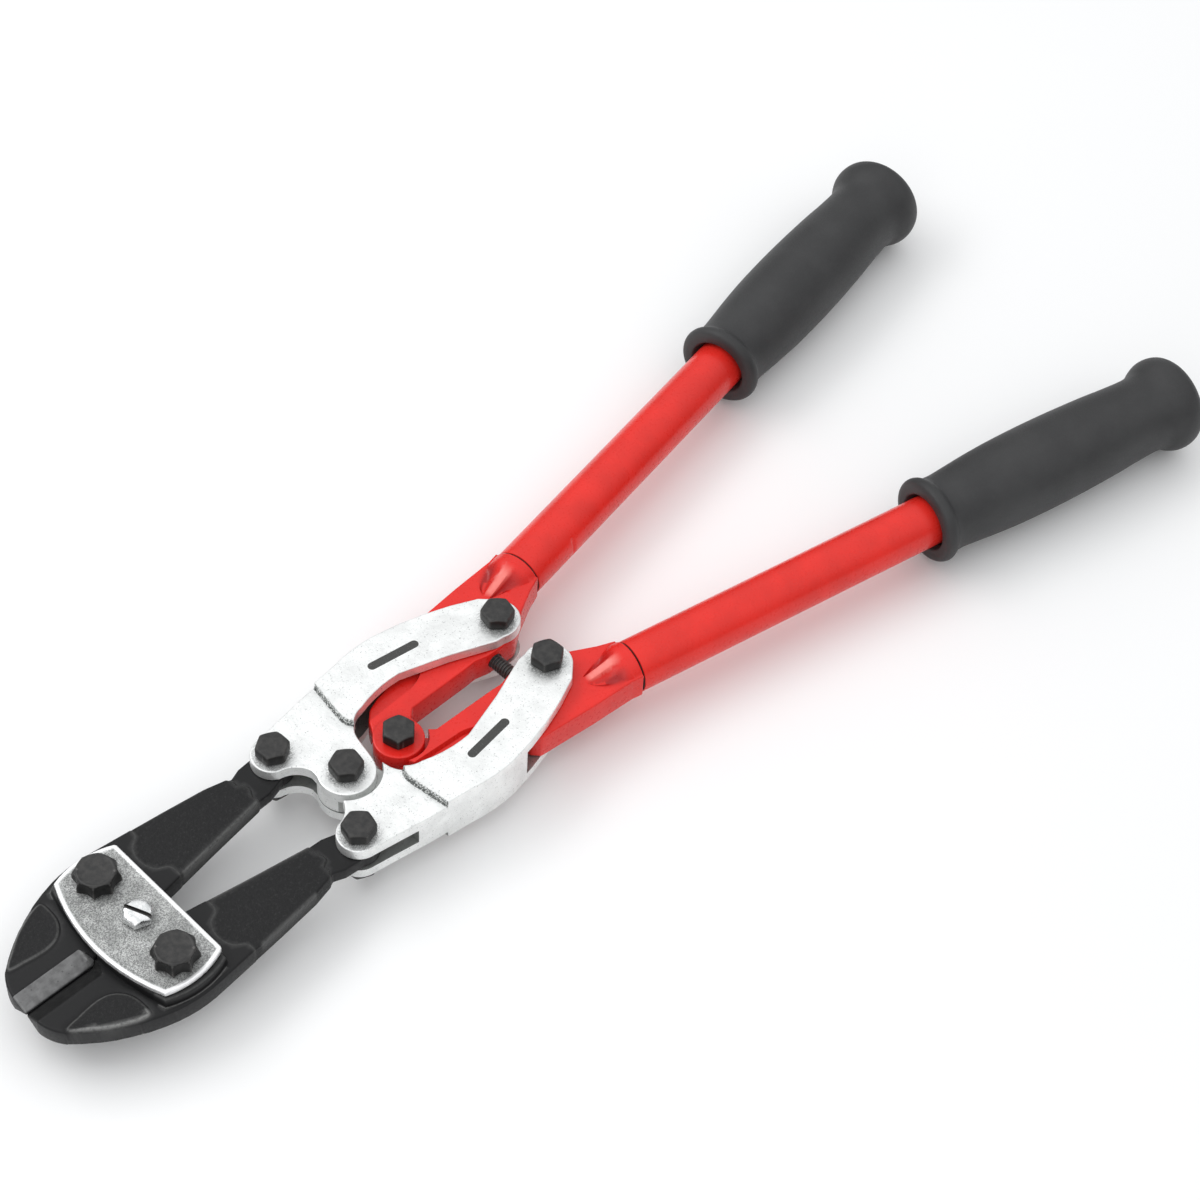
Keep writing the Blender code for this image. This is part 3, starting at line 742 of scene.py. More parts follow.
def head_rings(flats, corner, low, high):
    """Rings up a hexagon with both ends shaved by a cone, corners and rims softened."""
    side = hex_radius(flats, corner)
    start = flats / 2 * 0.95
    below, above = -0.35, 0.5

    def inner(turn):
        return side(turn) - 0.18

    return [
        (start * 0.97, low),
        (lambda turn: np.minimum(side(turn) - 0.25, start + 0.3), low + 0.03),
        (lambda turn: side(turn) - 0.05, shaved(side, start, below, low + 0.15)),
        (side, shaved(side, start, below, low + 0.35)),
        (side, shaved(side, start, above, high - 0.32)),
        (inner, shaved(inner, start, above, high - 0.06)),
        (start, high - 0.03), (start * 0.965, high), (start * 0.5, high),
    ]


def shank_rings(radius, seat, nut_height, pitch=1.27):
    """Rings up a bolt from its chamfered end: thread, then plain shank up to the head's seat."""
    low, length = -(seat + nut_height + THREAD_END), 2.0
    rings = [(radius - 0.7, low), (radius - 0.35, low + 0.25)]
    for index in range(int(length / pitch)):
        base = low + 0.4 + index * pitch
        rings += [(radius - 0.35, base), (radius, base + pitch * 0.3), (radius, base + pitch * 0.5),
                  (radius - 0.35, base + pitch * 0.8)]
    return [*rings, (radius, low + length + 0.2), (radius, seat)]


def hex_bolt(node, body, place, face, corner):
    seat = face + GAP
    profile = shank_rings(SHANK, seat, NUT_HEIGHT)
    profile += head_rings(HEX_FLATS, corner, seat, seat + HEAD_HEIGHT)
    bolt = column(node, profile, upright(place), 96)
    # Upright sides of the head take the darker oxide: painted shade.
    paint(bolt, 1, is_upright)
    finish(bolt, node, body, [OXIDE, SHADED_OXIDE_SIDE])


def hex_nut(node, body, place, face, corner, flats=HEX_FLATS, bore=BOLT_HOLE, height=NUT_HEIGHT,
            material=OXIDE):
    seat = -(face + GAP)
    profile = [(bore + 0.3, seat - height)]
    profile += head_rings(flats, corner, seat - height, seat)[:-1]
    profile += [(bore + 0.3, seat), (bore, seat - 0.3), (bore, seat - height + 0.3)]
    nut = column(node, profile, upright(place), 96, ring=True)
    finish(nut, node, body, [material])


def hex_pair(name, body, place, face, corner, nut_corner):
    hex_bolt(name + "_bolt", body, place, face, corner)
    hex_nut(name + "_nut", body, place, face, nut_corner)


def lobed(radius, depth):
    """Circle with eight scallops that meet in points."""
    return lambda turn: radius + depth * (1.0 - 2.0 * np.abs(np.sin(4 * turn)))


def lobed_bolt(node, place):
    """Jaw bolt: round top disc, chamfer, and eight flutes that flare to a lobed foot."""
    seat = STRAP_OUTER + GAP
    top = seat + JAW_HEAD_HEIGHT
    profile = shank_rings(JAW_SHANK, seat, NUT_HEIGHT)
    profile += [
        (lobed(7.4, 0.7), seat), (lobed(7.7, 0.8), seat + 0.2), (lobed(7.8, 0.8), seat + 0.6),
        (lobed(7.75, 0.75), top - 3.1), (lobed(7.55, 0.62), top - 2.2), (lobed(7.35, 0.42), top - 1.2),
        (lobed(7.15, 0.2), top - 0.55), (lobed(6.95, 0.06), top - 0.25), (6.75, top - 0.1),
        (6.5, top), (6.2, top), (5.9, top - 0.12), (5.6, top - 0.15), (3.0, top - 0.15)]
    bolt = column(node, profile, upright(place), 128)
    # Upright sides of the head take the darker oxide: painted shade.
    paint(bolt, 1, is_upright)
    finish(bolt, node, "head_strap", [OXIDE, SHADED_OXIDE_SIDE])


def clamp_screw():
    """Slotted hexagon screw with a domed top."""
    seat = STRAP_OUTER + GAP
    top = seat + CLAMP_HEAD_HEIGHT
    side = hex_radius(CLAMP_FLATS, CLAMP_CORNER)
    flat = CLAMP_FLATS / 2
    profile = shank_rings(CLAMP_SHANK, seat, CLAMP_NUT_HEIGHT)
    profile += [(flat - 0.3, seat), (lambda turn: side(turn) - 0.1, seat + 0.15), (side, seat + 0.35),
                (side, lambda turn: top - 0.95 - 0.55 * (side(turn) - flat)),
                (lambda turn: side(turn) - 0.25, lambda turn: top - 0.62 - 0.5 * (side(turn) - flat)),
                (flat - 0.4, top - 0.3), (flat - 1.0, top - 0.08), (flat - 1.8, top), (1.2, top)]
    screw = column("clamp_screw", profile, upright(CLAMP), 96)
    along = np.array([math.cos(SLOT_TURN), math.sin(SLOT_TURN)])
    across = np.array([-along[1], along[0]])
    ends = [np.array(CLAMP) + along * reach + across * SLOT_HALF * sign
            for reach, sign in ((-9, -1), (9, -1), (9, 1), (-9, 1))]
    cut(screw, ends, top - SLOT_DEPTH, top + 3)

    def in_slot(centre, normal):
        place = np.array(centre[:2]) - CLAMP
        deep = top - SLOT_DEPTH - 0.05 < centre.z < top - 0.12
        return deep and abs(place @ across) < SLOT_HALF + 0.03 and abs(place @ along) < flat - 0.2

    # The slot's floor and walls take black oxide: painted shade in the slot.
    paint(screw, 1, in_slot)
    finish(screw, "clamp_screw", "head_strap", [BRIGHT, OXIDE])
    hex_nut("clamp_nut", "head_strap", CLAMP, STRAP_OUTER, 30.0, CLAMP_FLATS, CLAMP_SHANK + GAP,
            CLAMP_NUT_HEIGHT, BRIGHT)


def stop_screw():
    """Set screw between the arms, with a helical thread."""
    start, end, pitch, around = -4.9, 12.6, 1.25, 40
    root, depth = 2.35, 0.5
    turn = np.arange(around) * math.tau / around
    rings = []
    for y in np.arange(start, end + 0.01, pitch / 8):
        phase = (y / pitch - turn / math.tau) % 1.0
        crest = np.clip(1.6 - np.abs(phase - 0.5) * 5.2, 0.0, 1.0)
        taper = min(1.0, (y - start) / 0.9)
        radius = root + depth * crest * taper - depth * (1.0 - taper)
        rings.append(np.column_stack([STOP_X + radius * np.sin(turn), np.full(around, y),
                                      radius * np.cos(turn)]))
    piece = loft("stop_screw", rings)
    finish(piece, "stop_screw", "left_handle", [OXIDE])


# --- head
def strap(node, sign):
    """Cast strap plate with a raised smooth rim round its speckled face."""
    edge = outline(
        (-79.3, 28.3, 1.5), (-80.5, 28.9), ("arc", (-91.5, 31.6), (-104.6, 29.6)),
        ("arc", (-110.9, 0.0), (-104.6, -29.6)), ("arc", (-91.5, -31.6), (-80.5, -28.9)),
        (-79.3, -28.3, 1.5),
    )
    holes = [circle((JAW_PIVOT[0], JAW_PIVOT[1] * side), JAW_HOLE) for side in (LEFT, RIGHT)]
    holes.append(circle(CLAMP, CLAMP_SHANK + GAP))
    rim, slope, sunk = 1.5, 0.35, 0.28
    fine = resample(edge, EDGE_STEP)
    lines = [inset(edge, depth) for depth in (rim - slope, rim, rim + slope)]

    def rim_rise(xy):
        return ease((rim + slope - nearest(xy, fine)) / (2 * slope))

    def outer(xy):
        return sign * (STRAP_OUTER - sunk + sunk * rim_rise(xy))

    def inner(xy):
        return np.full(len(xy), sign * STRAP_INNER)

    top, bottom = (outer, inner) if sign > 0 else (inner, outer)
    piece = relief(node, edge, top, bottom, holes, lines, edge_round=0.5)
    mask(piece, "rim", rim_rise(coordinates(piece)[:, :2]))
    finish(piece, node, "head_strap", [STRAP_ZINC])


JAW_EDGE = outline(
    (-139.9, EDGE_Y, 1.0), (-140.1, BEVEL_TOP_Y), ("arc", (-138.6, 12.0), (-136.0, 16.2)),
    ("arc", (-121.0, 27.2), (-103.0, 34.2)), ("arc", (-94.0, 35.4), (-85.0, 35.0)), (-57.0, 32.0),
    (-40.0, 29.9), (-31.7, 27.9, 1.2), (-29.9, 27.1, 1.0), (-25.5, 28.8), (-17.5, 29.5),
    ("arc", (-6.8, 22.9), (-15.9, 15.7)), (-23.5, 13.4), (-28.4, 13.2, 0.8), (-52.0, 9.6),
    (-76.0, 5.6), (-84.0, 4.6), (-98.0, 2.0), (-111.5, EDGE_Y),
)
BEVEL_END = smooth_line([(-112.9, 6.5), (-111.9, 4.2), (-111.3, 2.0), (-111.2, -1.5)])
BEVEL = np.concatenate([BEVEL_END[::-1], [(-113.2, BEVEL_TOP_Y), (-142.0, BEVEL_TOP_Y),
                                          (-142.0, -1.5)]])
BOSS = outline(
    (-110.4, -1.0), ("arc", (-109.4, 14.5), (-105.6, 30.6)), ("arc", (-92.0, 33.6), (-79.6, 31.0)),
    (-79.6, -1.0),
)
BOSS_ROUND = 1.2
LEDGE_LINE = 0.55
PANEL = smooth_line([
    (-134.6, 15.9), (-129.0, 14.6), (-124.0, 13.9), (-119.8, 13.8), (-116.0, 14.8), (-113.0, 17.3),
    (-111.2, 20.8), (-110.7, 25.0), (-111.2, 29.2), (-114.8, 28.9), (-119.0, 27.2), (-124.0, 24.6),
    (-129.0, 20.9)], closed=True, steps=6)
ARM_START = smooth_line([
    (-69.2, -3.0), (-69.0, 5.0), (-68.8, 10.2), (-70.0, 12.8), (-73.2, 14.6), (-75.2, 18.5),
    (-75.3, 23.0), (-73.6, 27.0), (-70.6, 29.3), (-69.7, 32.0), (-70.2, 40.0)])
TAIL_START = smooth_line([
    (-29.6, 8.0), (-29.0, 13.0), (-29.4, 16.0), (-28.0, 19.0), (-28.0, 21.5), (-30.4, 23.2),
    (-30.2, 25.6), (-31.5, 27.8), (-31.5, 34.0)])
ARM_PANEL = np.concatenate([ARM_START, [(-60.0, 40.0)], TAIL_START[::-1], [(-60.0, -3.0)]])
TAIL = np.concatenate([TAIL_START, [(5.0, 34.0), (5.0, 8.0)]])


PAD_LIFT = 0.42
INNER_ARM = np.array([(-67.0, 7.2), (-52.0, 9.6), (-30.0, 13.0)])
OUTER_ARM = np.array([(-66.0, 33.0), (-57.0, 32.0), (-40.0, 29.9)])


def band(distance, width):
    """1 on a line and falling off to both sides."""
    return np.exp(-(distance / width) ** 2)


def jaw_height(xy):
    """Upper face of a jaw: bevel, raised pad, land under the strap, sunk arm and thin tail."""
    height = np.full(len(xy), BLADE_HALF)
    height += land(xy, BOSS, BOSS_HALF - BLADE_HALF, BOSS_ROUND)
    pad = depth_inside(xy, PANEL)
    height += PAD_LIFT * ease(pad / 0.9 + 0.5) - 0.22 * band(pad + 0.85, 0.35)
    height += 0.12 * band(pad - 0.5, 0.5)
    height -= 0.30 * rise(xy, ARM_PANEL, 0.8)
    height += 0.12 * band(nearest(xy, ARM_START, False), 0.5)
    height -= (BLADE_HALF - TAIL_HALF) * rise(xy, TAIL, 0.7)
    slope = EDGE_HALF + (BLADE_HALF - EDGE_HALF) * (xy[:, 1] - EDGE_Y) / (BEVEL_TOP_Y - EDGE_Y)
    ground = np.clip(slope, EDGE_HALF, BLADE_HALF)
    run_out = np.clip(nearest(xy, BEVEL_END, False) / 1.2, 0.0, 1.0)
    share = np.where(inside(xy, BEVEL), np.sqrt(run_out), 0.0)
    return height + (ground - height) * share


def jaw_wear_and_highlight(xy, side):
    """Lighter marks: bare rough metal along the pad's lip, the ledge below the land and the arms'
    edges, and painted highlight on the right pad's wide outer band and on the land's rounded top edge
    beside the strap.
    """
    pad = depth_inside(xy, PANEL)
    # On the right jaw the pad's outer band is widened and brightened: painted highlight.
    outer = ease((xy[:, 1] - 15.9 - 0.43 * (xy[:, 0] + 134.6)) / 2.0)
    outer *= 1.0 if side == RIGHT else 0.0
    wear_and_highlight = (0.55 + 0.4 * outer) * band(pad - 0.3 * outer, 0.32 + 0.4 * outer)
    ledge = (xy[:, 1] > 28.0) & (xy[:, 0] < -81.0) & (xy[:, 0] > -108.0)
    wear_and_highlight += 0.8 * np.where(ledge, band(depth_inside(xy, BOSS) + LEDGE_LINE, 0.14), 0.0)
    # Band on the land's rounded top edge beside the strap: painted highlight.
    outside_strap = (xy[:, 1] > 26.0) & (xy[:, 0] < -79.0)
    wear_and_highlight += 0.30 * np.where(outside_strap, band(depth_inside(xy, BOSS) - 0.75, 0.4), 0.0)
    wear_and_highlight += 0.22 * band(nearest(xy, ARM_START, False), 0.5)
    wear_and_highlight += 0.20 * band(nearest(xy, TAIL_START, False), 0.5)
    wear_and_highlight += 0.50 * band(nearest(xy, INNER_ARM, False), 0.8)
    wear_and_highlight += 0.35 * band(nearest(xy, OUTER_ARM, False), 0.6)
    return np.clip(wear_and_highlight, 0.0, 1.0)


def jaw(word, side):
    node = word + "_jaw"
    holes = [circle(JAW_PIVOT, JAW_HOLE if side == LEFT else 5.0), circle(TAIL_PIVOT, BOLT_HOLE)]
    lines = [resample(BEVEL, 0.8), *ramp_lines(ARM_PANEL, 0.8, 0.8), *ramp_lines(TAIL, 0.7, 0.8)]
    lines += [inset(BEVEL, depth, 0.5) for depth in (0.12, 0.35, 0.7, 1.2)]
    lines += [inset(PANEL, depth, 0.8) for depth in (-1.2, -0.85, -0.45, -0.1, 0.25, 0.6, 1.0)]
    lines += [inset(BOSS, WALL + BOSS_ROUND * share, 0.8) for share in (0.0, 0.12, 0.4, 1.0)]
    lines += [inset(BOSS, depth, 0.8) for depth in (0.0, -0.4, -LEDGE_LINE, -0.7)]
    piece = relief(node, JAW_EDGE, jaw_height, None, holes, lines, edge_round=0.8, grid=1.4)
    cut(piece, circle(CLAMP, 4.8))
    place = coordinates(piece)
    xy = place[:, :2]
    rough = np.maximum(rise(xy, ARM_PANEL, 0.8), rise(xy, PANEL, 0.8))
    mask(piece, "rough", rough)
    # Lighter marks on the top face: worn metal, with painted highlight on the land's edge and the right
    # pad's outer band.
    mask(piece, "wear_and_highlight", np.where(place[:, 2] > 0.0, jaw_wear_and_highlight(xy, side), 0.0))
    low, high = -142.0, -110.8

    def is_ground(centre, normal):
        on_bevel = low < centre.x < high and centre.y < BEVEL_TOP_Y and abs(normal.z) > 0.25
        return on_bevel and inside(np.array([centre[:2]]), BEVEL)[0]

    paint(piece, 1, is_ground)
    # The right jaw's bevel takes the darker ground steel: painted shade.
    finish(piece, node, node, [FORGED, GROUND if side == LEFT else SHADED_GROUND], side)


# --- links
LINK_EDGE = outline(
    (-14.8, 31.1), ("arc", (-22.3, 21.6), (-17.5, 15.4)), ("arc", (-11.6, 12.4), (-9.1, 8.0)),
    (-9.3, 5.1), ("arc", (-1.0, -10.6), (10.4, -2.0)), (12.3, 8.0),
    ("arc", (15.4, 13.4), (21.0, 15.9)), ("arc", (31.0, 18.2), (41.0, 18.4)), (60.0, 12.4),
    (77.0, 5.6), (80.5, 5.3), ("arc", (92.5, 10.5), (90.2, 20.5)), (85.5, 25.0),
    ("arc", (67.0, 32.6), (45.0, 37.7)), ("arc", (36.0, 38.0), (26.0, 36.8)), (8.0, 34.7),
    (-5.0, 32.6),
)
RAISED = np.array([(30.0, -12.0), (15.2, -12.0), (15.2, 11.5), (14.9, 13.4), (13.7, 15.2),
                   (13.3, 17.2), (13.5, 20.0), (16.6, 41.0), (110.0, 41.0), (110.0, -12.0)])
LEFT_SLOT = [(-45, -20), (17.5, -20), (17.5, 30.4), (3.5, 28.8), (3.5, 50), (-45, 50)]
RIGHT_SLOT = [(-45, -20), (-7.5, -20), (-7.5, 7.5), (-4.6, 16.0), (-3.0, 24.0), (3.5, 29.5),
              (3.5, 50), (-45, 50)]
ARM_SLOT = [(16.5, -25), (115, -25), (115, 60), (53, 60), (53, 31.6), (45, 32.7), (36, 32.9),
            (26, 31.8), (16.5, 30.2)]
TONGUE = outline(
    (TONGUE_EYE, 0.0), ("arc", (0.0, -TONGUE_EYE), (-7.5, 7.5)), (-4.6, 16.0), (-3.3, 21.0),
    (11.0, 21.0), (12.8, 13.5),
)


def stripe(centre, half_length, half_width, degrees):
    """Plain bar with round ends."""
    turn = np.linspace(-math.pi / 2, math.pi / 2, 14)
    cap = np.stack([half_length + half_width * np.cos(turn), half_width * np.sin(turn)], 1)
    loop = np.concatenate([cap, -cap])
    angle = math.radians(degrees)
    along = np.array([math.cos(angle), math.sin(angle)])
    across = np.array([-along[1], along[0]])
    return np.array(centre) + loop[:, :1] * along + loop[:, 1:] * across


MARKS = {LEFT: stripe((45.0, 26.0), 9.0, 1.7, -8.0), RIGHT: stripe((45.0, 24.5), 9.0, 1.7, -8.0)}


def link_height(xy):
    return FRONT_OUTER + (REAR_OUTER - FRONT_OUTER) * rise(xy, RAISED, 0.35)


def link(word, side):
    node = word + "_link"
    mark = MARKS[side]
    holes = [circle(TAIL_PIVOT, BOLT_HOLE), circle(HANDLE_PIVOT, BOLT_HOLE)]
    if side == LEFT:
        holes.append(circle(CENTRE, BOLT_HOLE))
    lines = [*ramp_lines(RAISED, 0.35), resample(mark, 0.5)]
    lines += [inset(RAISED, depth) for depth in (-1.2, -0.8, -0.45, 0.6)]
    piece = relief(node, LINK_EDGE, link_height, None, holes, lines, edge_round=0.5, grid=1.6)
    cut(piece, LEFT_SLOT if side == LEFT else RIGHT_SLOT, -FRONT_INNER, FRONT_INNER)
    cut(piece, ARM_SLOT, -REAR_INNER, REAR_INNER)
    if side == RIGHT:
        cut(piece, circle(CENTRE, LINK_CLEARANCE, 96))
        tongue = relief("tongue", TONGUE, lambda xy: np.full(len(xy), TONGUE_HALF), None,
                        [circle(CENTRE, BOLT_HOLE)], edge_round=0.4)
        combine(piece, tongue, "UNION")
    place = coordinates(piece)
    step = depth_inside(place[:, :2], RAISED)
    # Darkening along the foot of the raised step and round the bolt heads: painted shade mixed with
    # dirt.
    grime_and_shade = 3.0 * ease((step + 0.8) / 0.35) * ease((0.25 - step) / 0.35)
    grime_and_shade *= ease(nearest(place[:, :2], LINK_EDGE) / 0.5)
    for centre in (CENTRE, TAIL_PIVOT, HANDLE_PIVOT):
        reach = nearest(place[:, :2], circle(centre, 6.1))
        grime_and_shade = np.maximum(grime_and_shade, 0.75 * np.exp(-(reach / 1.5) ** 2))
    mask(piece, "grime_and_shade", grime_and_shade)

    def is_mark(centre, normal):
        return centre.z > FRONT_OUTER and normal.z > 0.9 and inside(np.array([centre[:2]]), mark)[0]

    edge = resample(LINK_EDGE, EDGE_STEP)

    def is_hollow(centre, normal):
        low = abs(centre.z) < (FRONT_INNER if centre.x < 16.5 else REAR_INNER) + 0.05
        return low and nearest(np.array([centre[:2]]), edge)[0] > 0.4

    paint(piece, 1, is_mark)
    # Inner faces of the slots take the darker zinc: painted shade.
    paint(piece, 2, is_hollow)
    finish(piece, node, node, [LINK_ZINC, PRINT, SHADED_ZINC], side)


# --- handles
SEAM = 0.35                     # from the tube's start line to each side of the groove
SEAM_HALF = 9.65
NOSE_TIP = -20.0
NOSE_END = -4.0
NOSE_HALF = math.sqrt(COLLAR ** 2 - ARM_HALF ** 2)


def on_tube(s, w):
    """Drawing point at s along the left tube and w to its outer side."""
    cos, sin = math.cos(TUBE_ANGLE), math.sin(TUBE_ANGLE)
    return (TUBE_START[0] + s * cos - w * sin, TUBE_START[1] + s * sin + w * cos)


def along_tube(xy):
    """Distance along the left tube and to its outer side."""
    x, y = (np.asarray(xy) - TUBE_START).T
    cos, sin = math.cos(TUBE_ANGLE), math.sin(TUBE_ANGLE)
    return x * cos + y * sin, y * cos - x * sin


FORGING_EDGE = outline(
    (18.5, 7.2), ("arc", (HINGE[0], -EAR), (33.2, 3.0)), (36.5, 6.3, 1.5), (63.0, 6.6),
    (67.5, 6.9, 6.0), (73.0, 5.5, 8.0), (86.0, 5.3, 6.0), (94.0, 11.5, 8.0), (100.7, 15.2),
    (105.1, 17.6, 4.0), (*on_tube(-SEAM, -SEAM_HALF), 0.5), (*on_tube(-SEAM, SEAM_HALF), 0.5),
    (*on_tube(-5.0, 9.5), 3.0), (85.0, 37.0), (70.0, 35.5), (61.5, 34.7, 1.5), (59.0, 32.0, 1.5),
    ("arc", (55.5, 24.5), (50.0, 18.5)), (46.0, 20.3, 3.0), (38.0, 20.6, 4.0), (30.5, 19.0, 6.0),
    (25.5, 17.0, 4.0), (21.4, 12.8),
)
SHOULDER = outline(
    (10.0, 12.0), (24.0, 12.6), (42.0, 13.5), ("arc", (50.5, 17.5), (56.0, 26.0)), (60.0, 36.0),
    (60.0, 50.0), (10.0, 50.0),
)
SHOULDER_DROP = 1.8


def nose_reach(share, outer):
    """Half width of the nose, round on its outer side and tapering straight on its inner one."""
    if outer:
        return NOSE_HALF * np.sqrt(np.maximum(1.0 - (1.0 - share) ** 2, 0.03))
    return NOSE_HALF * (0.17 + 0.83 * share)


def crest_half(share):
    return 1.2 + 0.5 * share


def nose_loop(flank):
    """Line round the nose at this share of the way from its crest down to its foot."""
    share = np.linspace(0.0, 1.0, 36)
    s = NOSE_TIP + share * (NOSE_END - NOSE_TIP)
    crest = crest_half(share)
    outer, inner = (crest + (nose_reach(share, side) - crest) * flank for side in (True, False))
    ahead = [on_tube(*place) for place in zip(s, outer)]
    back = [on_tube(*place) for place in zip(s[::-1], -inner[::-1])]
    return np.array(ahead + back)


def nose_height(xy):
    """Ridge on the tube's axis with a scoop on each side, swelling into the round collar."""
    s, w = along_tube(xy)
    share = np.clip((s - NOSE_TIP) / (NOSE_END - NOSE_TIP), 0.0, 1.0)
    reach = np.where(w > 0.0, nose_reach(share, True), nose_reach(share, False))
    crest = (COLLAR - ARM_HALF) * (0.75 * share + 0.25 * ease(share))
    out = np.clip(np.abs(w) / reach, 0.0, 1.0)
    collar = (np.sqrt(COLLAR ** 2 - (out * NOSE_HALF) ** 2) - ARM_HALF) / (COLLAR - ARM_HALF)
    flank = np.clip((np.abs(w) - crest_half(share)) / (reach - crest_half(share)).clip(0.3), 0.0, 1.0)
    swell = ease((share - 0.40) / 0.55)
    dip = 1.1 * np.sin(math.pi * flank) * (1.0 - swell) * ease(share / 0.15)
    return crest * (swell * collar + (1.0 - swell) * (1.0 - flank) ** 2) - dip


def nose_shades(xy):
    """How deep in the scoops beside the crest, and how near the crest, each point lies: masks for
    painted shade in the scoops and a painted highlight along the crest.
    """
    s, w = along_tube(xy)
    share = (s - NOSE_TIP) / (NOSE_END - NOSE_TIP)
    within = ease((share - 0.02) / 0.12) * ease((1.0 - share) / 0.35)
    kept = np.clip(share, 0.0, 1.0)
    reach = np.where(w > 0.0, nose_reach(kept, True), nose_reach(kept, False))
    crest = crest_half(kept)
    flank = (np.abs(w) - crest) / (reach - crest).clip(0.3)
    outer = ease((flank - 0.25) / 0.3) * ease((1.05 - flank) / 0.15)
    inner = ease(flank / 0.25) * ease((1.05 - flank) / 0.3)
    hollow = within * np.where(w > 0.0, outer, 0.75 * inner)
    along = ease((share - 0.05) / 0.1) * ease((1.0 - share) / 0.35)
    ridge_highlight = along * ease((crest + 0.25 - np.abs(w)) / 0.4)
    return hollow, ridge_highlight


def forging(word, side):
    """Flat red arm with its ear, a lower shoulder, and the nose and collar of the socket."""
    node = word + "_handle_forging"

    def height(xy):
        ear = np.hypot(xy[:, 0] - HINGE[0], xy[:, 1] - HINGE[1])
        flat = ARM_HALF + 0.35 * ease((ear - 8.9) / 0.8)
        return flat - SHOULDER_DROP * rise(xy, SHOULDER, 0.8) + nose_height(xy)

    lines = [circle(HINGE, radius, 72) for radius in (8.8, 9.2, 9.6, 10.0)]
    lines += ramp_lines(SHOULDER, 0.8)
    lines += [nose_loop(flank) for flank in (0.0, 0.2, 0.4, 0.6, 0.8, 1.0)]
    holes = [circle(HINGE, BOLT_HOLE if side == LEFT else 4.9), circle(HANDLE_PIVOT, BOLT_HOLE)]
    piece = relief(node, FORGING_EDGE, height, None, holes, lines, edge_round=0.7, grid=1.1)
    low, high = (-REACH, GAP / 2) if side == LEFT else (-GAP / 2, REACH)
    cut(piece, circle(HINGE, EAR_RELIEF, 96), low, high)
    spigot = column("spigot", [(8.2, -4.0), (8.2, 31.0), (7.6, 32.0)], tube_axes(), 72)
    combine(piece, spigot, "UNION")
    if side == LEFT:
        bore_axes = np.array([(0, 0, 1.0), (1.0, 0, 0), (0, 1.0, 0)])
        bore = column("bore", [(3.1, 0.0), (3.1, 17.9)], (np.array([STOP_X, -5.0, 0.0]), bore_axes), 40)
        combine(piece, bore, "DIFFERENCE")
    place = coordinates(piece)
    # Masks for the enamel: painted shade in the scoops and a painted highlight along the crest.
    hollow, ridge_highlight = nose_shades(place[:, :2])
    on_top = np.abs(place[:, 2]) > ARM_HALF - 0.4
    mask(piece, "hollow", np.where(on_top, hollow, 0.0))
    mask(piece, "ridge_highlight", np.where(on_top, ridge_highlight, 0.0))
    along = Vector(tube_axes()[1][2])
    paint(piece, 1, lambda centre, normal: along_tube(centre[:2])[0] > -SEAM - 0.05
          and (normal.dot(along) > 0.7 or along_tube(centre[:2])[0] > 0.0))
    finish(piece, node, word + "_handle", [ARM_RED, OXIDE], side)


def tube(word, side):
    """Steel tube with softened rims and the short crimp that locks it on the forging."""
    start, end = SEAM, TUBE_LENGTH
    crimp_at, crimp_turn = 22.9, math.radians(172.0)

    def wall(distance):
        def radius(turn):
            across = (turn - crimp_turn + math.pi) % math.tau - math.pi
            dent = np.exp(-((distance - crimp_at) / 0.75) ** 2) * np.exp(-(across / 0.36) ** 4)
            return TUBE_RADIUS - 0.75 * dent
        return radius

    stations = [*np.arange(0.8, crimp_at - 2.4, 4.0), *np.arange(crimp_at - 2.4, crimp_at + 2.5, 0.2),
                *np.linspace(crimp_at + 4.0, end - 0.8, 30)]
    profile = [(TUBE_BORE, start), (TUBE_RADIUS - 0.35, start), (TUBE_RADIUS - 0.08, start + 0.15)]
    profile += [(wall(s), s) for s in stations]
    profile += [(TUBE_RADIUS - 0.3, end), (TUBE_BORE, end)]
    piece = column(word + "_tube", profile, tube_axes(), 96, ring=True)
    along = Vector(tube_axes()[1][2])
    paint(piece, 1, lambda centre, normal: normal.dot(along) < -0.9)
    finish(piece, word + "_handle_tube", word + "_handle", [TUBE_RED, OXIDE], side)


GRIP_PROFILE = [
    (134.6, 12.2), (134.5, 13.6), (134.6, 14.9), (135.2, 16.3), (136.2, 17.0), (137.4, 17.2),
    (138.5, 17.0), (139.4, 16.5), (140.6, 15.7), (142.2, 15.3), (144.6, 15.15), (147.0, 15.2),
    (153.0, 15.7), (160.0, 16.3), (168.0, 16.85), (176.0, 17.2), (190.0, 17.4), (205.0, 17.2),
    (221.0, 16.6), (230.0, 16.0), (236.0, 15.7), (240.0, 15.55), (243.0, 15.6), (245.2, 15.95),
    (247.0, 16.6), (248.6, 17.5), (250.2, 18.3), (252.0, 18.95), (254.0, 19.2), (256.0, 19.05),
    (258.0, 18.5), (259.7, 17.4), (261.0, 15.9), (262.1, 13.7), (262.9, 11.2), (263.4, 9.0),
    (GRIP_END, 7.5), (GRIP_END, 4.0),
]


def grip(word, side):
    """Moulded sleeve: rolled front rim, swelling body, waist and round end."""
    skin = smooth_line(GRIP_PROFILE, steps=4)
    bore = [(11.9, 134.75), (11.5, 135.2), (11.2, 136.4), (10.6, 137.2), (GRIP_BORE, 138.2)]
    hollow = [(0.5, 252.0), (GRIP_BORE, 252.0), *bore[::-1]]
    profile = hollow + [(radius, s) for s, radius in skin]
    piece = column(word + "_grip", profile, tube_axes(), 96)
    finish(piece, word + "_grip", word + "_handle", [RUBBER], side)


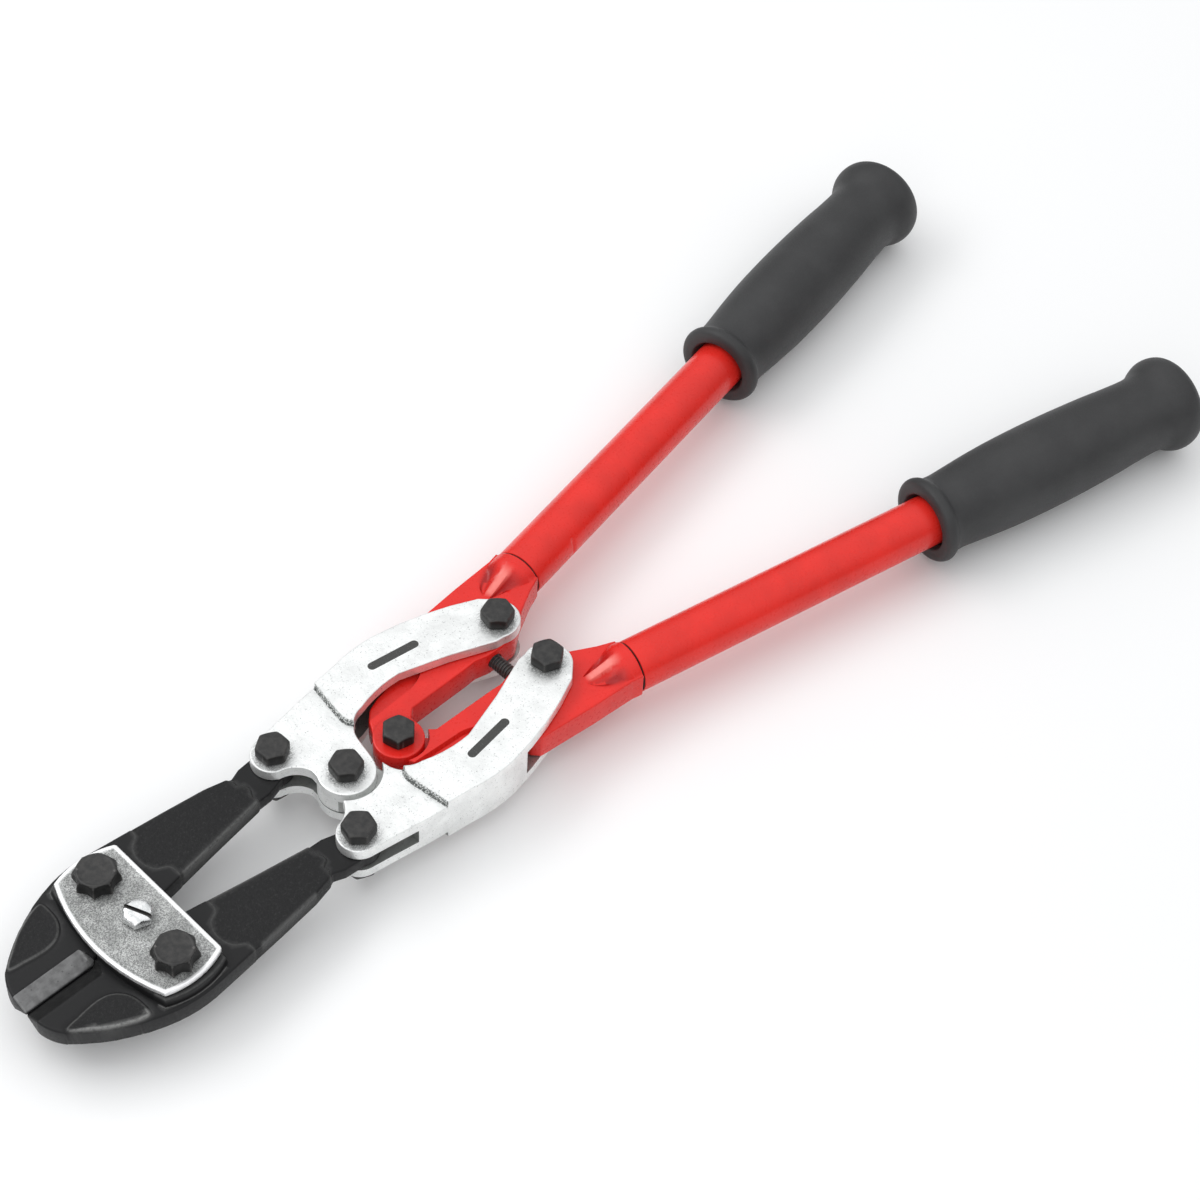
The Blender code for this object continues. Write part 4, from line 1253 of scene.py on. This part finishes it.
# --- the tool
def build_tool():
    hex_bolt("centre_bolt", "centre_pivot", CENTRE, FRONT_OUTER, 22.0)
    hex_nut("centre_nut", "centre_pivot", CENTRE, FRONT_OUTER, 10.0)
    strap("upper_strap", 1)
    strap("lower_strap", -1)
    clamp_screw()
    link_corners = {LEFT: 33.5, RIGHT: 17.5}
    handle_corners = {LEFT: 18.5, RIGHT: 37.5}
    for word, side in SIDES:
        for build in (jaw, link, forging, tube, grip):
            build(word, side)
        pivot, tail, rear = ((x, y * side) for x, y in (JAW_PIVOT, TAIL_PIVOT, HANDLE_PIVOT))
        lobed_bolt(word + "_jaw_bolt", pivot)
        hex_nut(word + "_jaw_nut", "head_strap", pivot, STRAP_OUTER, 30.0, JAW_NUT_FLATS, JAW_HOLE)
        corner = link_corners[side]
        hex_pair(word + "_link", word + "_link", tail, FRONT_OUTER, corner, corner + 20)
        corner = handle_corners[side]
        hex_pair(word + "_handle", word + "_handle", rear, REAR_OUTER, corner, corner + 15)
    hex_pair("hinge", "left_handle", HINGE, ARM_HALF, 46.7, 30.0)
    stop_screw()


# --- stage
def build_floor():
    f = Finish("studio_paper", (0.93, 0.93, 0.93), 0.9, Specular_IOR_Level=0.1)
    tone = f.blend(f.ramp(f.noise(400.0, 2.0), 0.3, 0.7), (0.94, 0.94, 0.94), (0.92, 0.92, 0.92))
    f.use(tone)
    half = 12.0
    mesh = bpy.data.meshes.new("floor")
    mesh.from_pydata([(-half, -half, 0), (half, -half, 0), (half, half, 0), (-half, half, 0)], [],
                     [(0, 1, 2, 3)])
    mesh.materials.append(f.material)
    floor = bpy.data.objects.new("floor", mesh)
    floor.location.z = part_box("left_grip")[0][2] - 0.0002
    bpy.context.scene.collection.objects.link(floor)


def area_light(name, place, aim, size, power):
    light = bpy.data.lights.new(name, "AREA")
    light.shape = "RECTANGLE"
    light.size, light.size_y = size
    light.energy = power
    lamp = bpy.data.objects.new(name, light)
    bpy.context.scene.collection.objects.link(lamp)
    lamp.location = place
    lamp.rotation_euler = (Vector(place) - Vector(aim)).to_track_quat("Z", "Y").to_euler()


def build_light():
    """Sky that is bright overhead and dim at the horizon, with two soft boxes."""
    world = bpy.data.worlds.new("studio")
    world.use_nodes = True
    nodes, links = world.node_tree.nodes, world.node_tree.links
    background = nodes["Background"]
    background.inputs["Color"].default_value = (0.98, 0.99, 1.0, 1.0)
    direction = nodes.new("ShaderNodeTexCoord").outputs["Generated"]
    parts = nodes.new("ShaderNodeSeparateXYZ")
    strength = nodes.new("ShaderNodeMapRange")
    strength.interpolation_type = "SMOOTHSTEP"
    for socket, value in (("From Min", -0.05), ("From Max", 0.9), ("To Min", 0.16), ("To Max", 1.15)):
        strength.inputs[socket].default_value = value
    links.new(direction, parts.inputs["Vector"])
    links.new(parts.outputs["Z"], strength.inputs["Value"])
    links.new(strength.outputs["Result"], background.inputs["Strength"])
    bpy.context.scene.world = world
    area_light("key", (-0.5, 0.8, 1.1), (0.0, 0.0, 0.0), (1.2, 0.5), 5.0)
    area_light("side", (-0.9, -0.6, 0.7), (0.0, 0.0, 0.0), (0.5, 0.9), 1.5)


def build_camera():
    """Long lens from the front right of the jaws, rolled slightly."""
    focal, azimuth, elevation, roll = 89.907, -136.96, 50.23, 3.61
    distance = 1.112
    target = ORIGIN + Vector((124.4, 0.24, 0.0)) * MM
    around, up_angle = math.radians(azimuth), math.radians(elevation)
    back = Vector((math.cos(up_angle) * math.cos(around), math.cos(up_angle) * math.sin(around),
                   math.sin(up_angle)))
    right = (-back).cross(Vector((0, 0, 1))).normalized()
    up = right.cross(-back)
    cos, sin = math.cos(math.radians(roll)), math.sin(math.radians(roll))
    axes = Matrix((right * cos + up * sin, up * cos - right * sin, back)).transposed()
    data = bpy.data.cameras.new("camera")
    data.lens = focal
    data.sensor_width = 36.0
    camera = bpy.data.objects.new("camera", data)
    camera.matrix_world = Matrix.Translation(target + back * distance) @ axes.to_4x4()
    bpy.context.scene.collection.objects.link(camera)
    bpy.context.scene.camera = camera


build_tool()
build_floor()
build_light()
build_camera()
bpy.context.scene.view_settings.view_transform = "Standard"
